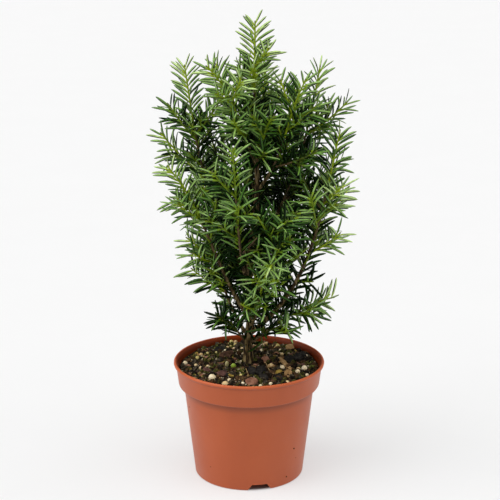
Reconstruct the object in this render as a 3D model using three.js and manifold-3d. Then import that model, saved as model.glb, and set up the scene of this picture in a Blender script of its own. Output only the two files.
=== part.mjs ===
// A young English yew in its round nursery pot: pot, potting mix, trunk, boughs and masses of needles.
// Millimetres, +Z up. The origin is the middle of the pot's flat underside, and -Y is the plant's front.
import * as THREE from "three";
import { mergeVertices } from "three/addons/utils/BufferGeometryUtils.js";
import Module from "manifold-3d";

const wasm = await Module();
wasm.setup();

const { Vector3 } = THREE;
const UP = new Vector3(0, 0, 1);

// ---- Driving dimensions ----

// Clearance between one solid and the next.
const GAP = 0.3;

// A thin-walled pot: a tapered body under a wider collar with a beaded lip.
const POT = {
  height: 117.3,
  lipRadius: 75,
  collarTopRadius: 72.6,
  collarFootRadius: 70.2,
  collarHeight: 23.8,
  bodyTopRadius: 65,
  baseRadius: 54.3,
  wall: 2.2,
  floor: 8,
  footRing: 4,
  footHeight: 6.4,
  padRadius: 38,
  facets: 40,
};

// Drain notches through the foot ring, evenly round it.
const NOTCH = { count: 3, firstAngle: -79, topWidth: 15, footWidth: 25, height: 6.2, depth: 9 };

// The mix stands a little below the rim and is heaped round the trunk's foot.
const SOIL = { edgeHeight: 107.3, heapHeight: 111.5, heapRadius: 17, facets: 32 };

// The trunk leans and sways a little on its way up: x, y, height, from ground level to the leader.
const TRUNK_LINE = [
  [-0.8, 6, 105],
  [-0.8, 5, 139],
  [2, 3, 164],
  [0, 1, 215],
  [5, 0, 256],
  [8, 0, 291],
  [6.7, 0, 330],
  [5.3, 0, 384],
];
const TRUNK = { footRadius: 4.4, topRadius: 1.5, flare: 1.8, flareHeight: 9, sides: 8, steps: 26 };

// One row a limb. leave: its height on the trunk. toward: its compass angle, 0 to the right and 270 to
// the front. reach and top: how far out and how high its tip is. rise and end: its slope at the trunk and
// at its tip. girth: its radius at the trunk. bare: the share of its length with no foliage, the bough.
// shoots: how many side shoots it has. long: the longest one. turn and seed: how they are dealt round it.
const LIMBS = [
  { name: "left_low", leave: 158, toward: 195, reach: 79, top: 318, rise: 55, end: 52, girth: 2.6,
    bare: 0.36, shoots: 6, long: 58, turn: 120, seed: 814 },
  { name: "right_low", leave: 142, toward: 350, reach: 87, top: 351, rise: 38, end: 78, girth: 2.8,
    bare: 0.38, shoots: 7, long: 50, turn: 120, seed: 373 },
  { name: "left_high", leave: 205, toward: 174, reach: 61, top: 409, rise: 55, end: 82, girth: 2.3,
    bare: 0.34, shoots: 7, long: 58, turn: 340, seed: 681 },
  { name: "right_high", leave: 222, toward: 12, reach: 69, top: 407, rise: 52, end: 80, girth: 2.3,
    bare: 0.3, shoots: 7, long: 62, turn: 280, seed: 562 },
  { name: "left_top", leave: 314, toward: 215, reach: 47, top: 414, rise: 64, end: 42, girth: 1.7,
    bare: 0.22, shoots: 5, long: 40, turn: 320, seed: 359 },
  { name: "right_top", leave: 290, toward: 330, reach: 60, top: 402, rise: 48, end: 62, girth: 1.8,
    bare: 0.22, shoots: 5, long: 44, turn: 260, seed: 352 },
  { name: "front_left", leave: 192, toward: 255, reach: 58, top: 343, rise: 40, end: 75, girth: 2.1,
    bare: 0.28, shoots: 5, long: 48, turn: 20, seed: 268 },
  { name: "front_right", leave: 178, toward: 298, reach: 74, top: 277, rise: 42, end: 36, girth: 2.1,
    bare: 0.3, shoots: 5, long: 48, turn: 340, seed: 478 },
  { name: "front_low", leave: 148, toward: 286, reach: 78, top: 238, rise: 35, end: 28, girth: 2,
    bare: 0.3, shoots: 4, long: 44, turn: 220, seed: 464 },
  { name: "right_skirt", leave: 132, toward: 2, reach: 83, top: 181, rise: 34, end: 12, girth: 1.9,
    bare: 0.32, shoots: 3, long: 36, turn: 40, seed: 433 },
  { name: "left_skirt", leave: 140, toward: 182, reach: 60, top: 243, rise: 54, end: 34, girth: 2,
    bare: 0.34, shoots: 5, long: 42, turn: 120, seed: 470 },
  { name: "back_left", leave: 184, toward: 122, reach: 76, top: 346, rise: 45, end: 68, girth: 2.3,
    bare: 0.32, shoots: 6, long: 52, turn: 160, seed: 1087 },
  { name: "back_right", leave: 168, toward: 52, reach: 80, top: 322, rise: 42, end: 66, girth: 2.4,
    bare: 0.34, shoots: 6, long: 52, turn: 60, seed: 170 },
  { name: "back_low", leave: 150, toward: 95, reach: 80, top: 246, rise: 36, end: 35, girth: 2.1,
    bare: 0.32, shoots: 5, long: 46, turn: 0, seed: 667 },
  { name: "back_high", leave: 246, toward: 88, reach: 58, top: 392, rise: 48, end: 70, girth: 2,
    bare: 0.28, shoots: 5, long: 48, turn: 0, seed: 569 },
  { name: "top_back", leave: 338, toward: 60, reach: 32, top: 400, rise: 60, end: 72, girth: 1.3,
    bare: 0, shoots: 3, long: 28, turn: 80, seed: 520 },
  { name: "top_front", leave: 318, toward: 303, reach: 42, top: 369, rise: 50, end: 34, girth: 1.4,
    bare: 0, shoots: 4, long: 34, turn: 250, seed: 611 },
  { name: "foot_left", leave: 132, toward: 205, reach: 33, top: 166, rise: 42, end: 10, girth: 1.2,
    bare: 0, shoots: 3, long: 26, turn: 60, seed: 144 },
  { name: "foot_right", leave: 131, toward: 330, reach: 45, top: 160, rise: 35, end: 8, girth: 1.2,
    bare: 0, shoots: 3, long: 26, turn: 320, seed: 766 },
];
const LIMB = { sides: 5, steps: 6, tipShare: 0.62, bend: 0.36 };

// The leader is the trunk's last growth, a straight shoot from its tip with side shoots low down.
const LEADER = { tip: [5.7, 0, 451], shoots: 3, long: 24, last: 0.18, turn: 30, seed: 388 };

// Side shoots leave a stem at this angle in golden turns and bend upward; the lowest are the longest.
const SHOOT = { first: 0.04, last: 0.72, opening: 44, openingSpread: 14, turn: 137.5, turnSpread: 29,
  shorten: 0.35, lift: 0.35, shortest: 12, apart: 10, steps: 12, stemSteps: 8, rootRadius: 1.1,
  tipRadius: 0.5 };

// Needles stand in whorls of three on short nodes of a shoot's core, each whorl turned on from the last.
const WHORL = { node: 1.8, spacing: 15, firstFromTip: 3, turn: 47, bareRoot: 12 };

// A needle is a thin keeled blade, widest at its belly; toward the tip they close up and shorten.
const NEEDLE = { length: 24, width: 6.2, thick: 1, belly: 0.45, arch: 2.2, opening: 52,
  tipOpening: 30, tipSize: 0.6, fullFromTip: 16 };

// The crown's outline: height and the radius that no needle passes there, round an upright axis.
const CROWN_AXIS = { x: 7, y: 0 };
const CROWN_FLOOR = 119;
const CROWN = [
  [119, 48],
  [150, 72],
  [190, 96],
  [240, 104],
  [300, 108],
  [375, 108],
  [400, 98],
  [425, 78],
  [440, 40],
  [462, 20],
];

const COLOURS = {
  terracotta: { color: 0xb9643f, roughness: 0.55 },
  soil: { color: 0x2e241c, roughness: 0.95 },
  bark: { color: 0x5b4431, roughness: 0.85 },
  needles: { color: 0x2c5a33, roughness: 0.5 },
};

// ---- Small helpers ----

const radians = THREE.MathUtils.degToRad;
const mix = THREE.MathUtils.lerp;
const vector = (point) => new Vector3(...point);
const moved = (from, way, distance) => from.clone().addScaledVector(way, distance);

// Seeded numbers from 0 to 1, the same on every run.
function seeded(seed) {
  let state = seed;
  const draw = () => {
    state = (Math.imul(1664525, state) + 1013904223) >>> 0;
    return state / 2 ** 32;
  };
  draw();
  return draw;
}

// The value at a place in a table of [place, value] rows, straight from row to row.
function tableAt(table, place) {
  const next = table.findIndex(([at]) => at >= place);
  if (next < 0) return table[table.length - 1][1];
  if (next === 0) return table[0][1];
  const [from, low] = table[next - 1];
  const [to, high] = table[next];
  return mix(low, high, (place - from) / (to - from));
}

// The unit vector toward a compass angle, raised by a slope.
function heading(toward, slope) {
  const level = Math.cos(radians(slope));
  const x = Math.cos(radians(toward)) * level;
  const y = Math.sin(radians(toward)) * level;
  return new Vector3(x, y, Math.sin(radians(slope)));
}

// The level unit vector square to a direction.
function levelAcross(direction) {
  const across = UP.clone().cross(direction);
  return across.length() < 1e-3 ? new Vector3(1, 0, 0) : across.normalize();
}

// How far a point is from a line of points, and the share of the line where it is nearest.
function nearest(point, line) {
  const piece = new THREE.Line3();
  const foot = new Vector3();
  let best = { distance: Infinity, share: 0 };
  for (let i = 0; i + 1 < line.length; i += 1) {
    piece.set(line[i], line[i + 1]);
    const along = piece.closestPointToPointParameter(point, true);
    const distance = piece.at(along, foot).distanceTo(point);
    if (distance < best.distance) best = { distance, share: (i + along) / (line.length - 1) };
  }
  return best;
}

// Points on a curve from one share of it to another.
function pointsOn(curve, from, to, steps) {
  return Array.from({ length: steps + 1 }, (_, i) => curve.getPoint(mix(from, to, i / steps)));
}

// The way ahead at each point of a line, and two ways square to it that don't twist along the line.
function framesAlong(line) {
  const frames = [];
  let aside = null;
  line.forEach((point, i) => {
    const before = line[Math.max(i - 1, 0)];
    const after = line[Math.min(i + 1, line.length - 1)];
    const ahead = after.clone().sub(before).normalize();
    aside = aside ? aside.clone() : levelAcross(ahead);
    aside.addScaledVector(ahead, -aside.dot(ahead)).normalize();
    frames.push({ point, ahead, aside, over: ahead.clone().cross(aside) });
  });
  return frames;
}

// ---- Solids ----

// A closed geometry as a solid.
function solidOf(geometry) {
  const bare = new THREE.BufferGeometry();
  bare.setAttribute("position", geometry.getAttribute("position"));
  bare.setIndex(geometry.getIndex());
  const merged = mergeVertices(bare, 1e-4);
  return new wasm.Manifold(
    new wasm.Mesh({
      numProp: 3,
      vertProperties: merged.getAttribute("position").array,
      triVerts: new Uint32Array(merged.getIndex().array),
    }),
  );
}

// All the given solids as one, without the hollows and loose scraps that joining can leave.
function joined(solids) {
  const bodies = wasm.Manifold.union(solids).decompose();
  return bodies.reduce((largest, body) => (body.volume() > largest.volume() ? body : largest));
}

// A solid as a named mesh.
function meshOf(name, solid, look) {
  const { vertProperties, triVerts } = solid.getMesh();
  const indexed = new THREE.BufferGeometry();
  indexed.setAttribute("position", new THREE.BufferAttribute(vertProperties, 3));
  indexed.setIndex(new THREE.BufferAttribute(triVerts, 1));
  const geometry = indexed.toNonIndexed();
  geometry.computeVertexNormals();
  const mesh = new THREE.Mesh(geometry, new THREE.MeshStandardMaterial({ metalness: 0, ...look }));
  mesh.name = name;
  return mesh;
}

// A round piece from its profile of [radius, height] points, which starts and ends on the axis.
function turned(profile, facets) {
  const points = profile.map(([radius, height]) => new THREE.Vector2(radius, height));
  const geometry = new THREE.LatheGeometry(points, facets);
  geometry.rotateX(Math.PI / 2);
  return solidOf(geometry);
}

// A tapering limb: a cylinder bent along a line of points, its radius a function of the share passed.
function limb(line, radiusAt, sides) {
  const steps = line.length - 1;
  const geometry = new THREE.CylinderGeometry(1, 1, 1, sides, steps);
  const position = geometry.getAttribute("position");
  const frames = framesAlong(line);
  for (let i = 0; i < position.count; i += 1) {
    const share = position.getY(i) + 0.5;
    const { point, aside, over } = frames[Math.round(share * steps)];
    const place = moved(point, over, position.getX(i) * radiusAt(share));
    place.addScaledVector(aside, position.getZ(i) * radiusAt(share));
    position.setXYZ(i, place.x, place.y, place.z);
  }
  return solidOf(geometry);
}

// A closed surface from its corner points and its triangles of corner numbers.
function surface(corners, triangles) {
  const geometry = new THREE.BufferGeometry();
  const numbers = corners.flatMap(({ x, y, z }) => [x, y, z]);
  geometry.setAttribute("position", new THREE.Float32BufferAttribute(numbers, 3));
  geometry.setIndex(triangles.flat());
  return solidOf(geometry);
}

// A shoot's core and needles as one surface. The core is a tube of three-cornered rings that ends in a
// bud. Between the two rings of a node each side is drawn out into a needle, where there is one.
function spray(rings, bud) {
  const corners = rings.flatMap((ring) => ring.corners);
  const triangles = [[2, 1, 0]];
  const last = corners.length - 3;
  rings.slice(1).forEach(({ needles = [] }, i) => {
    for (const side of [0, 1, 2]) {
      const low = [3 * i + side, 3 * i + ((side + 1) % 3)];
      const high = low.map((corner) => corner + 3);
      if (needles[side]) triangles.push(...drawnOut(corners, low, high, needles[side]));
      else triangles.push([low[0], low[1], high[1]], [low[0], high[1], high[0]]);
    }
  });
  const tip = corners.push(bud) - 1;
  for (const side of [0, 1, 2]) triangles.push([last + side, last + ((side + 1) % 3), tip]);
  return surface(corners, triangles);
}

// The triangles of one needle on a core's side: a flat underside and a keel on top, widest at its
// belly. Its new corners are added to the surface's.
function drawnOut(corners, [lowA, lowB], [highA, highB], { belly, tip, across, face, size }) {
  const half = (NEEDLE.width / 2) * size;
  const edgeA = corners.push(moved(belly, across, -half)) - 1;
  const edgeB = corners.push(moved(belly, across, half)) - 1;
  const keel = corners.push(moved(belly, face, NEEDLE.thick * size)) - 1;
  const point = corners.push(tip) - 1;
  return [
    [lowA, lowB, edgeB],
    [lowA, edgeB, edgeA],
    [lowA, edgeA, highA],
    [edgeA, keel, highA],
    [lowB, highB, edgeB],
    [highB, keel, edgeB],
    [highA, keel, highB],
    [edgeA, edgeB, point],
    [edgeB, keel, point],
    [keel, edgeA, point],
  ];
}

// ---- Pot and mix ----

const collarFoot = POT.height - POT.collarHeight;

// The inner radius of the pot's body at a height.
function innerRadius(height) {
  return mix(POT.baseRadius, POT.bodyTopRadius, height / collarFoot) - POT.wall;
}

// The pot: foot ring and pad below, tapered body, collar with a soft lower edge, beaded lip.
function pot() {
  const ringRadius = POT.baseRadius - POT.footRing;
  const collarInside = POT.collarFootRadius - POT.wall;
  const profile = [
    [0, 0],
    [POT.padRadius, 0],
    [POT.padRadius + 1.5, POT.footHeight],
    [ringRadius - 1, POT.footHeight],
    [ringRadius, 0],
    [POT.baseRadius - 0.8, 0],
    [POT.baseRadius, 1],
    [POT.bodyTopRadius, collarFoot],
    [POT.collarFootRadius - 1.2, collarFoot],
    [POT.collarFootRadius, collarFoot + 1.8],
    [POT.collarTopRadius, POT.height - 3.6],
    [POT.lipRadius - 0.5, POT.height - 3],
    [POT.lipRadius, POT.height - 1.6],
    [POT.lipRadius - 0.9, POT.height],
    [POT.lipRadius - 2.6, POT.height - 0.6],
    [POT.collarTopRadius - POT.wall, POT.height - 4],
    [collarInside, collarFoot + POT.wall],
    [innerRadius(collarFoot), collarFoot + POT.wall],
    [innerRadius(POT.floor), POT.floor],
    [0, POT.floor],
  ];
  return notches().reduce((body, cutter) => body.subtract(cutter), turned(profile, POT.facets));
}

// The cutters of the drain notches: short bars with sloped sides, laid outward through the foot ring.
function notches() {
  const outline = new THREE.Shape();
  outline.moveTo(-NOTCH.footWidth / 2, -1);
  outline.lineTo(NOTCH.footWidth / 2, -1);
  outline.lineTo(NOTCH.topWidth / 2, NOTCH.height);
  outline.lineTo(-NOTCH.topWidth / 2, NOTCH.height);
  return Array.from({ length: NOTCH.count }, (_, i) => {
    const bar = new THREE.ExtrudeGeometry(outline, { depth: NOTCH.depth, bevelEnabled: false });
    bar.translate(0, 0, POT.baseRadius + 2 - NOTCH.depth);
    bar.rotateX(Math.PI / 2);
    bar.rotateZ(radians(NOTCH.firstAngle + (i * 360) / NOTCH.count + 90));
    return solidOf(bar);
  });
}

// The potting mix: it fills the pot a gap clear of the wall and is heaped round the trunk.
function soil() {
  const collarInside = POT.collarFootRadius - POT.wall - GAP;
  const step = collarFoot + POT.wall + GAP;
  const profile = [
    [0, POT.floor + GAP],
    [innerRadius(POT.floor) - GAP, POT.floor + GAP],
    [innerRadius(collarFoot) - GAP, step],
    [collarInside, step],
    [collarInside + 0.9, SOIL.edgeHeight],
    [mix(SOIL.heapRadius, collarInside, 0.45), mix(SOIL.heapHeight, SOIL.edgeHeight, 0.7)],
    [SOIL.heapRadius, SOIL.heapHeight],
    [0, SOIL.heapHeight],
  ];
  return turned(profile, SOIL.facets);
}

// ---- Wood ----

const trunkCurve = new THREE.CatmullRomCurve3(TRUNK_LINE.map(vector), false, "catmullrom");
const trunkLine = trunkCurve.getPoints(TRUNK.steps);
const ground = SOIL.heapHeight + GAP;
const trunkTop = TRUNK_LINE[TRUNK_LINE.length - 1][2];

// The trunk's radius at a height: an even taper over a root flare.
function trunkRadius(height) {
  const taper = mix(TRUNK.footRadius, TRUNK.topRadius, (height - ground) / (trunkTop - ground));
  return taper + TRUNK.flare * Math.exp((ground - height) / TRUNK.flareHeight);
}

// The trunk, made wider all round by a margin.
function trunkWith(margin) {
  return limb(trunkLine, (share) => trunkRadius(trunkCurve.getPoint(share).z) + margin, TRUNK.sides);
}

// The trunk, cut flat at ground level.
function trunk() {
  const below = new THREE.BoxGeometry(60, 60, 40);
  below.translate(0, 0, ground - 20);
  return trunkWith(0).subtract(solidOf(below));
}

// The trunk's middle at a height.
function trunkAt(height) {
  const line = trunkCurve.getPoints(60);
  const next = line.findIndex(({ z }) => z >= height);
  const [from, to] = [line[next - 1], line[next]];
  return from.clone().lerp(to, (height - from.z) / (to.z - from.z));
}

// A limb's curve, from the trunk's middle to the limb's tip.
function limbCurve({ leave, toward, reach, top, rise, end }) {
  const root = trunkAt(leave);
  const tip = heading(toward, 0).multiplyScalar(reach).setZ(top);
  const pull = root.distanceTo(tip) * LIMB.bend;
  const first = moved(root, heading(toward, rise), pull);
  const last = moved(tip, heading(toward, end), -pull);
  return new THREE.CubicBezierCurve3(root, first, last, tip);
}

// ---- Growth ----

// A limb's curve parted into its bare bough and, a gap further on, the stem of its mass.
function grown(row) {
  const curve = limbCurve(row);
  const start = row.bare ? row.bare + GAP / curve.getLength() : 0;
  return {
    ...row,
    curve,
    bough: row.bare ? pointsOn(curve, 0, row.bare, LIMB.steps) : null,
    stem: pointsOn(curve, start, 1, SHOOT.stemSteps),
    stemRadius: row.girth * (row.bare ? LIMB.tipShare : 1),
  };
}

// The leader as a limb of its own, a gap above the trunk's tip.
function grownLeader() {
  const foot = trunkCurve.getPoint(1);
  const tip = vector(LEADER.tip);
  const start = moved(foot, tip.clone().sub(foot).normalize(), GAP);
  const curve = new THREE.CubicBezierCurve3(start, start.clone().lerp(tip, 1 / 3),
    start.clone().lerp(tip, 2 / 3), tip);
  const stem = pointsOn(curve, 0, 1, SHOOT.stemSteps);
  return { ...LEADER, name: "leader", bare: 0, curve, bough: null, stem, stemRadius: TRUNK.topRadius };
}

const limbs = [...LIMBS.map(grown), grownLeader()];

// A bough's radius at a share of its length.
const boughRadius = ({ girth }) => (share) => girth * mix(1, LIMB.tipShare, share);

// The wood that foliage keeps clear of.
const wood = [
  { line: trunkLine, radiusAt: (share) => trunkRadius(trunkCurve.getPoint(share).z) },
  ...limbs
    .filter(({ bough }) => bough)
    .map((one) => ({ line: one.bough, radiusAt: boughRadius(one) })),
];

// How far a point is from the nearest of several lines.
function distanceTo(point, lines) {
  return Math.min(...lines.map((line) => nearest(point, line).distance));
}

// Whether a ball is inside the crown and clear of the wood.
function inCrown(point, radius) {
  const fromAxis = Math.hypot(point.x - CROWN_AXIS.x, point.y - CROWN_AXIS.y);
  if (point.z < CROWN_FLOOR + radius || fromAxis > tableAt(CROWN, point.z)) return false;
  return wood.every(({ line, radiusAt }) => {
    const { distance, share } = nearest(point, line);
    return distance > radiusAt(share) + radius + GAP;
  });
}

// Whether a point is further than a distance from the cores of every other limb.
function clearOfOthers(point, distance, own) {
  return limbs.every((other) => other === own || distanceTo(point, other.cores) > distance);
}

// The side shoots of a limb, each a short line of points.
function sideShoots(own) {
  const draw = seeded(own.seed);
  return Array.from({ length: own.shoots }, (_, i) => {
    const share = i / (own.shoots - 1);
    const at = mix(own.bare + SHOOT.first, own.last ?? SHOOT.last, share) + (draw() - 0.5) * 0.05;
    const root = own.curve.getPoint(at);
    const ahead = own.curve.getPoint(at + 0.01).sub(own.curve.getPoint(at - 0.01)).normalize();
    const roll = radians(own.turn + i * SHOOT.turn + (draw() - 0.5) * SHOOT.turnSpread);
    const opening = radians(SHOOT.opening + (draw() - 0.5) * SHOOT.openingSpread);
    const length = own.long * (1 - SHOOT.shorten * share) * (0.8 + 0.4 * draw());
    const out = leaving(ahead, roll, opening);
    const lifted = moved(out, UP, SHOOT.lift).normalize();
    const bend = moved(root, out, length / 2);
    const curve = new THREE.QuadraticBezierCurve3(root, bend, moved(bend, lifted, length / 2));
    return withinSpace(curve.getPoints(SHOOT.steps), own);
  }).filter((line) => lengthOf(line) >= SHOOT.shortest);
}

// The direction that leaves a line's way ahead by an opening angle, rolled round it.
function leaving(ahead, roll, opening) {
  const aside = levelAcross(ahead);
  const over = ahead.clone().cross(aside);
  const out = aside.multiplyScalar(Math.cos(roll)).addScaledVector(over, Math.sin(roll));
  return ahead.clone().multiplyScalar(Math.cos(opening)).addScaledVector(out, Math.sin(opening));
}

// A line's points up to the first that would leave the crown or crowd another limb's cores.
function withinSpace(line, own) {
  const leaves = (point, i) =>
    i > 0 && !(inCrown(point, SHOOT.rootRadius) && clearOfOthers(point, SHOOT.apart, own));
  const stop = line.findIndex(leaves);
  return stop < 0 ? line : line.slice(0, stop);
}

function lengthOf(line) {
  return line.slice(1).reduce((sum, point, i) => sum + point.distanceTo(line[i]), 0);
}

// Every limb's cores: its stem and, in the order of the limbs, its side shoots.
for (const one of limbs) one.cores = [one.stem];
for (const one of limbs) one.cores.push(...sideShoots(one));

// The places of a shoot's rings along its length: its root, then two to a node. Nodes are spaced from
// the tip down, each turned on from the last, and only a node's upper ring bears needles.
function stationsAlong(length, phase) {
  const stations = [{ at: 0, phase }];
  for (let i = Math.floor((length - WHORL.bareRoot) / WHORL.spacing); i >= 0; i -= 1) {
    const fromTip = WHORL.firstFromTip + i * WHORL.spacing;
    const angle = phase + i * WHORL.turn;
    stations.push({ at: length - fromTip - WHORL.node / 2, phase: angle });
    stations.push({ at: length - fromTip + WHORL.node / 2, phase: angle, fromTip });
  }
  return stations;
}

// A shoot grown along a core's line, with every needle that fits.
function shootAlong(line, own, rootRadius, phase) {
  const curve = new THREE.CatmullRomCurve3(line, false, "catmullrom");
  const length = lengthOf(line);
  const stations = stationsAlong(length, phase);
  const frames = framesAlong(stations.map(({ at }) => curve.getPointAt(at / length)));
  const rings = stations.map((station, i) => {
    const radius = mix(rootRadius, SHOOT.tipRadius, station.at / length);
    const outward = (angle) => around(frames[i], station.phase + angle);
    const corners = [0, 120, 240].map((angle) => moved(frames[i].point, outward(angle), radius));
    if (!station.fromTip) return { corners };
    const needles = [60, 180, 300]
      .map((angle) => needle(frames[i], outward(angle), radius, station.fromTip))
      .map((one) => (fits(one, line, own) ? one : null));
    return { corners, needles };
  });
  return spray(rings, line[line.length - 1]);
}

// The direction at an angle round a frame's way ahead.
function around({ aside, over }, angle) {
  const turn = radians(angle);
  return aside.clone().multiplyScalar(Math.cos(turn)).addScaledVector(over, Math.sin(turn));
}

// A needle that leaves a core outward and ahead, arching back toward its point.
function needle({ point, ahead }, outward, radius, fromTip) {
  const open = Math.min(1, fromTip / NEEDLE.fullFromTip);
  const size = mix(NEEDLE.tipSize, 1, open);
  const opening = radians(mix(NEEDLE.tipOpening, NEEDLE.opening, open));
  const way = ahead.clone().multiplyScalar(Math.cos(opening)).addScaledVector(outward, Math.sin(opening));
  const face = moved(ahead, way, -ahead.dot(way)).normalize();
  const root = moved(point, outward, radius / 2);
  const belly = moved(root, way, NEEDLE.length * NEEDLE.belly * size);
  const tip = moved(moved(root, way, NEEDLE.length * size), face, -NEEDLE.arch * size);
  return { root, belly, tip, face, across: ahead.clone().cross(outward), size };
}

// Whether a needle lies in its limb's own space, the places nearer to the limb's cores than to any
// other's, and clear of the other cores there.
function fits({ root, belly, tip, size }, line, own) {
  const half = (NEEDLE.width / 2) * size;
  const others = own.cores.filter((core) => core !== line);
  return [0.5, 1, 1.25, 1.5, 1.75, 2].every((at) => {
    const point = at < 1 ? root.clone().lerp(belly, at) : belly.clone().lerp(tip, at - 1);
    const radius = half * (at < 1 ? 0.8 : 2 - at);
    return (
      inCrown(point, radius) &&
      clearOfOthers(point, distanceTo(point, own.cores) + 2 * radius + GAP, own) &&
      distanceTo(point, others) > SHOOT.rootRadius + radius
    );
  });
}

// The bough of a limb, its root shaped to the trunk a gap away.
function bough(one, trunkSpace) {
  return limb(one.bough, boughRadius(one), LIMB.sides).subtract(trunkSpace);
}

// A mass of foliage: a stem, its side shoots and the needles on them, fused, a gap clear of the trunk.
function foliage(own, trunkSpace) {
  const sprays = own.cores.map((line, i) => {
    const rootRadius = i ? SHOOT.rootRadius : own.stemRadius;
    return shootAlong(line, own, rootRadius, own.turn + i * WHORL.turn);
  });
  return joined([joined(sprays).subtract(trunkSpace)]);
}

// ---- The plant ----

const yew = new THREE.Group();
const trunkSpace = trunkWith(GAP);
yew.add(meshOf("pot", pot(), COLOURS.terracotta));
yew.add(meshOf("soil", soil(), COLOURS.soil));
yew.add(meshOf("trunk", trunk(), COLOURS.bark));
for (const one of limbs) {
  if (one.bough) yew.add(meshOf("bough_" + one.name, bough(one, trunkSpace), COLOURS.bark));
  yew.add(meshOf("foliage_" + one.name, foliage(one, trunkSpace), COLOURS.needles));
}

export default yew;
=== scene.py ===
# The looks of a young potted English yew: pot, potting mix, bark, twigs and needles, grown by the same
# rule as the part's solids and carried on to finer twigs. The tables are in millimetres and the meshes
# in metres. +Z is up, -Y is the plant's front, and the origin is the middle of the pot's flat underside.

import math

import bmesh
import bpy
import numpy as np
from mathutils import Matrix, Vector, noise


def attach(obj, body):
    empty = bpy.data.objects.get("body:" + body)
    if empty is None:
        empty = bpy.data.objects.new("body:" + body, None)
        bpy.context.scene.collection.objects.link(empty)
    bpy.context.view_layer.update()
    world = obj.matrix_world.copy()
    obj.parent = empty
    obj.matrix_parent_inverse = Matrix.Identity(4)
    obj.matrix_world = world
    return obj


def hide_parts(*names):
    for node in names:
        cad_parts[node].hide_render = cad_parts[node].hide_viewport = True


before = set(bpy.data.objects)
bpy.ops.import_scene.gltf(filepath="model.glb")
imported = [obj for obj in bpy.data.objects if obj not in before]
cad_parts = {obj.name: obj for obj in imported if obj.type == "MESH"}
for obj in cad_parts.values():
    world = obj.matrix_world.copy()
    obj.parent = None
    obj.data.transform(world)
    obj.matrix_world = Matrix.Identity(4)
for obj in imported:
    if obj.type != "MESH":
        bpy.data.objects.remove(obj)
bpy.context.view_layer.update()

MM = 0.001
UP = np.array([0.0, 0.0, 1.0])
GAP = 0.3

# ---- Driving dimensions, as in the part's source ----

POT = {
    "height": 117.3,
    "lip_radius": 75,
    "collar_top_radius": 72.6,
    "collar_foot_radius": 70.2,
    "collar_height": 23.8,
    "body_top_radius": 65,
    "base_radius": 54.3,
    "wall": 2.2,
    "floor": 8,
    "foot_ring": 4,
    "foot_height": 6.4,
    "pad_radius": 38,
    "facets": 160,
}
NOTCH = {"count": 3, "first_angle": -79, "top_width": 15, "foot_width": 25, "height": 6.2, "depth": 9}
SOIL = {"edge_height": 107.3, "heap_height": 111.5, "heap_radius": 17, "radius": 69.3}

TRUNK_LINE = [
    (-0.8, 6, 105),
    (-0.8, 5, 139),
    (2, 3, 164),
    (0, 1, 215),
    (5, 0, 256),
    (8, 0, 291),
    (6.7, 0, 330),
    (5.3, 0, 384),
]
TRUNK = {"foot_radius": 4.4, "top_radius": 1.5, "flare": 1.8, "flare_height": 9}

# One row a limb. leave: its height on the trunk. toward: its compass angle, 0 to the right and 270 to
# the front. reach and top: how far out and how high its tip is. rise and end: its slope at the trunk and
# at its tip. girth: its radius at the trunk. bare: the share of its length that is a bough.
# shoots: how many side shoots it has. long: the longest one. turn and seed: how they are dealt round it.
LIMB_FIELDS = ("name", "leave", "toward", "reach", "top", "rise", "end", "girth", "bare", "shoots",
               "long", "turn", "seed")
LIMB_ROWS = [
    ("left_low", 158, 195, 79, 318, 55, 52, 2.6, 0.36, 6, 58, 120, 814),
    ("right_low", 142, 350, 87, 351, 38, 78, 2.8, 0.38, 7, 50, 120, 373),
    ("left_high", 205, 174, 61, 409, 55, 82, 2.3, 0.34, 7, 58, 340, 681),
    ("right_high", 222, 12, 69, 407, 52, 80, 2.3, 0.3, 7, 62, 280, 562),
    ("left_top", 314, 215, 47, 414, 64, 42, 1.7, 0.22, 5, 40, 320, 359),
    ("right_top", 290, 330, 60, 402, 48, 62, 1.8, 0.22, 5, 44, 260, 352),
    ("front_left", 192, 255, 58, 343, 40, 75, 2.1, 0.28, 5, 48, 20, 268),
    ("front_right", 178, 298, 74, 277, 42, 36, 2.1, 0.3, 5, 48, 340, 478),
    ("front_low", 148, 286, 78, 238, 35, 28, 2, 0.3, 4, 44, 220, 464),
    ("right_skirt", 132, 2, 83, 181, 34, 12, 1.9, 0.32, 3, 36, 40, 433),
    ("left_skirt", 140, 182, 60, 243, 54, 34, 2, 0.34, 5, 42, 120, 470),
    ("back_left", 184, 122, 76, 346, 45, 68, 2.3, 0.32, 6, 52, 160, 1087),
    ("back_right", 168, 52, 80, 322, 42, 66, 2.4, 0.34, 6, 52, 60, 170),
    ("back_low", 150, 95, 80, 246, 36, 35, 2.1, 0.32, 5, 46, 0, 667),
    ("back_high", 246, 88, 58, 392, 48, 70, 2, 0.28, 5, 48, 0, 569),
    ("top_back", 338, 60, 32, 400, 60, 72, 1.3, 0, 3, 28, 80, 520),
    ("top_front", 318, 303, 42, 369, 50, 34, 1.4, 0, 4, 34, 250, 611),
    ("foot_left", 132, 205, 33, 166, 42, 10, 1.2, 0, 3, 26, 60, 144),
    ("foot_right", 131, 330, 45, 160, 35, 8, 1.2, 0, 3, 26, 320, 766),
]
LIMB = {"steps": 6, "tip_share": 0.62, "bend": 0.36}
LEADER = {"tip": (5.7, 0, 451), "shoots": 3, "long": 24, "last": 0.18, "turn": 30, "seed": 388}
SHOOT = {"first": 0.04, "last": 0.72, "opening": 44, "opening_spread": 14, "turn": 137.5,
         "turn_spread": 29, "shorten": 0.35, "lift": 0.35, "shortest": 12, "apart": 10, "steps": 12,
         "stem_steps": 8, "root_radius": 1.1}

CROWN_AXIS = (7, 0)
CROWN_FLOOR = 119
CROWN = [(119, 48), (150, 72), (190, 96), (240, 104), (300, 108), (375, 108), (400, 98), (425, 78),
         (440, 40), (462, 20)]

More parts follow.
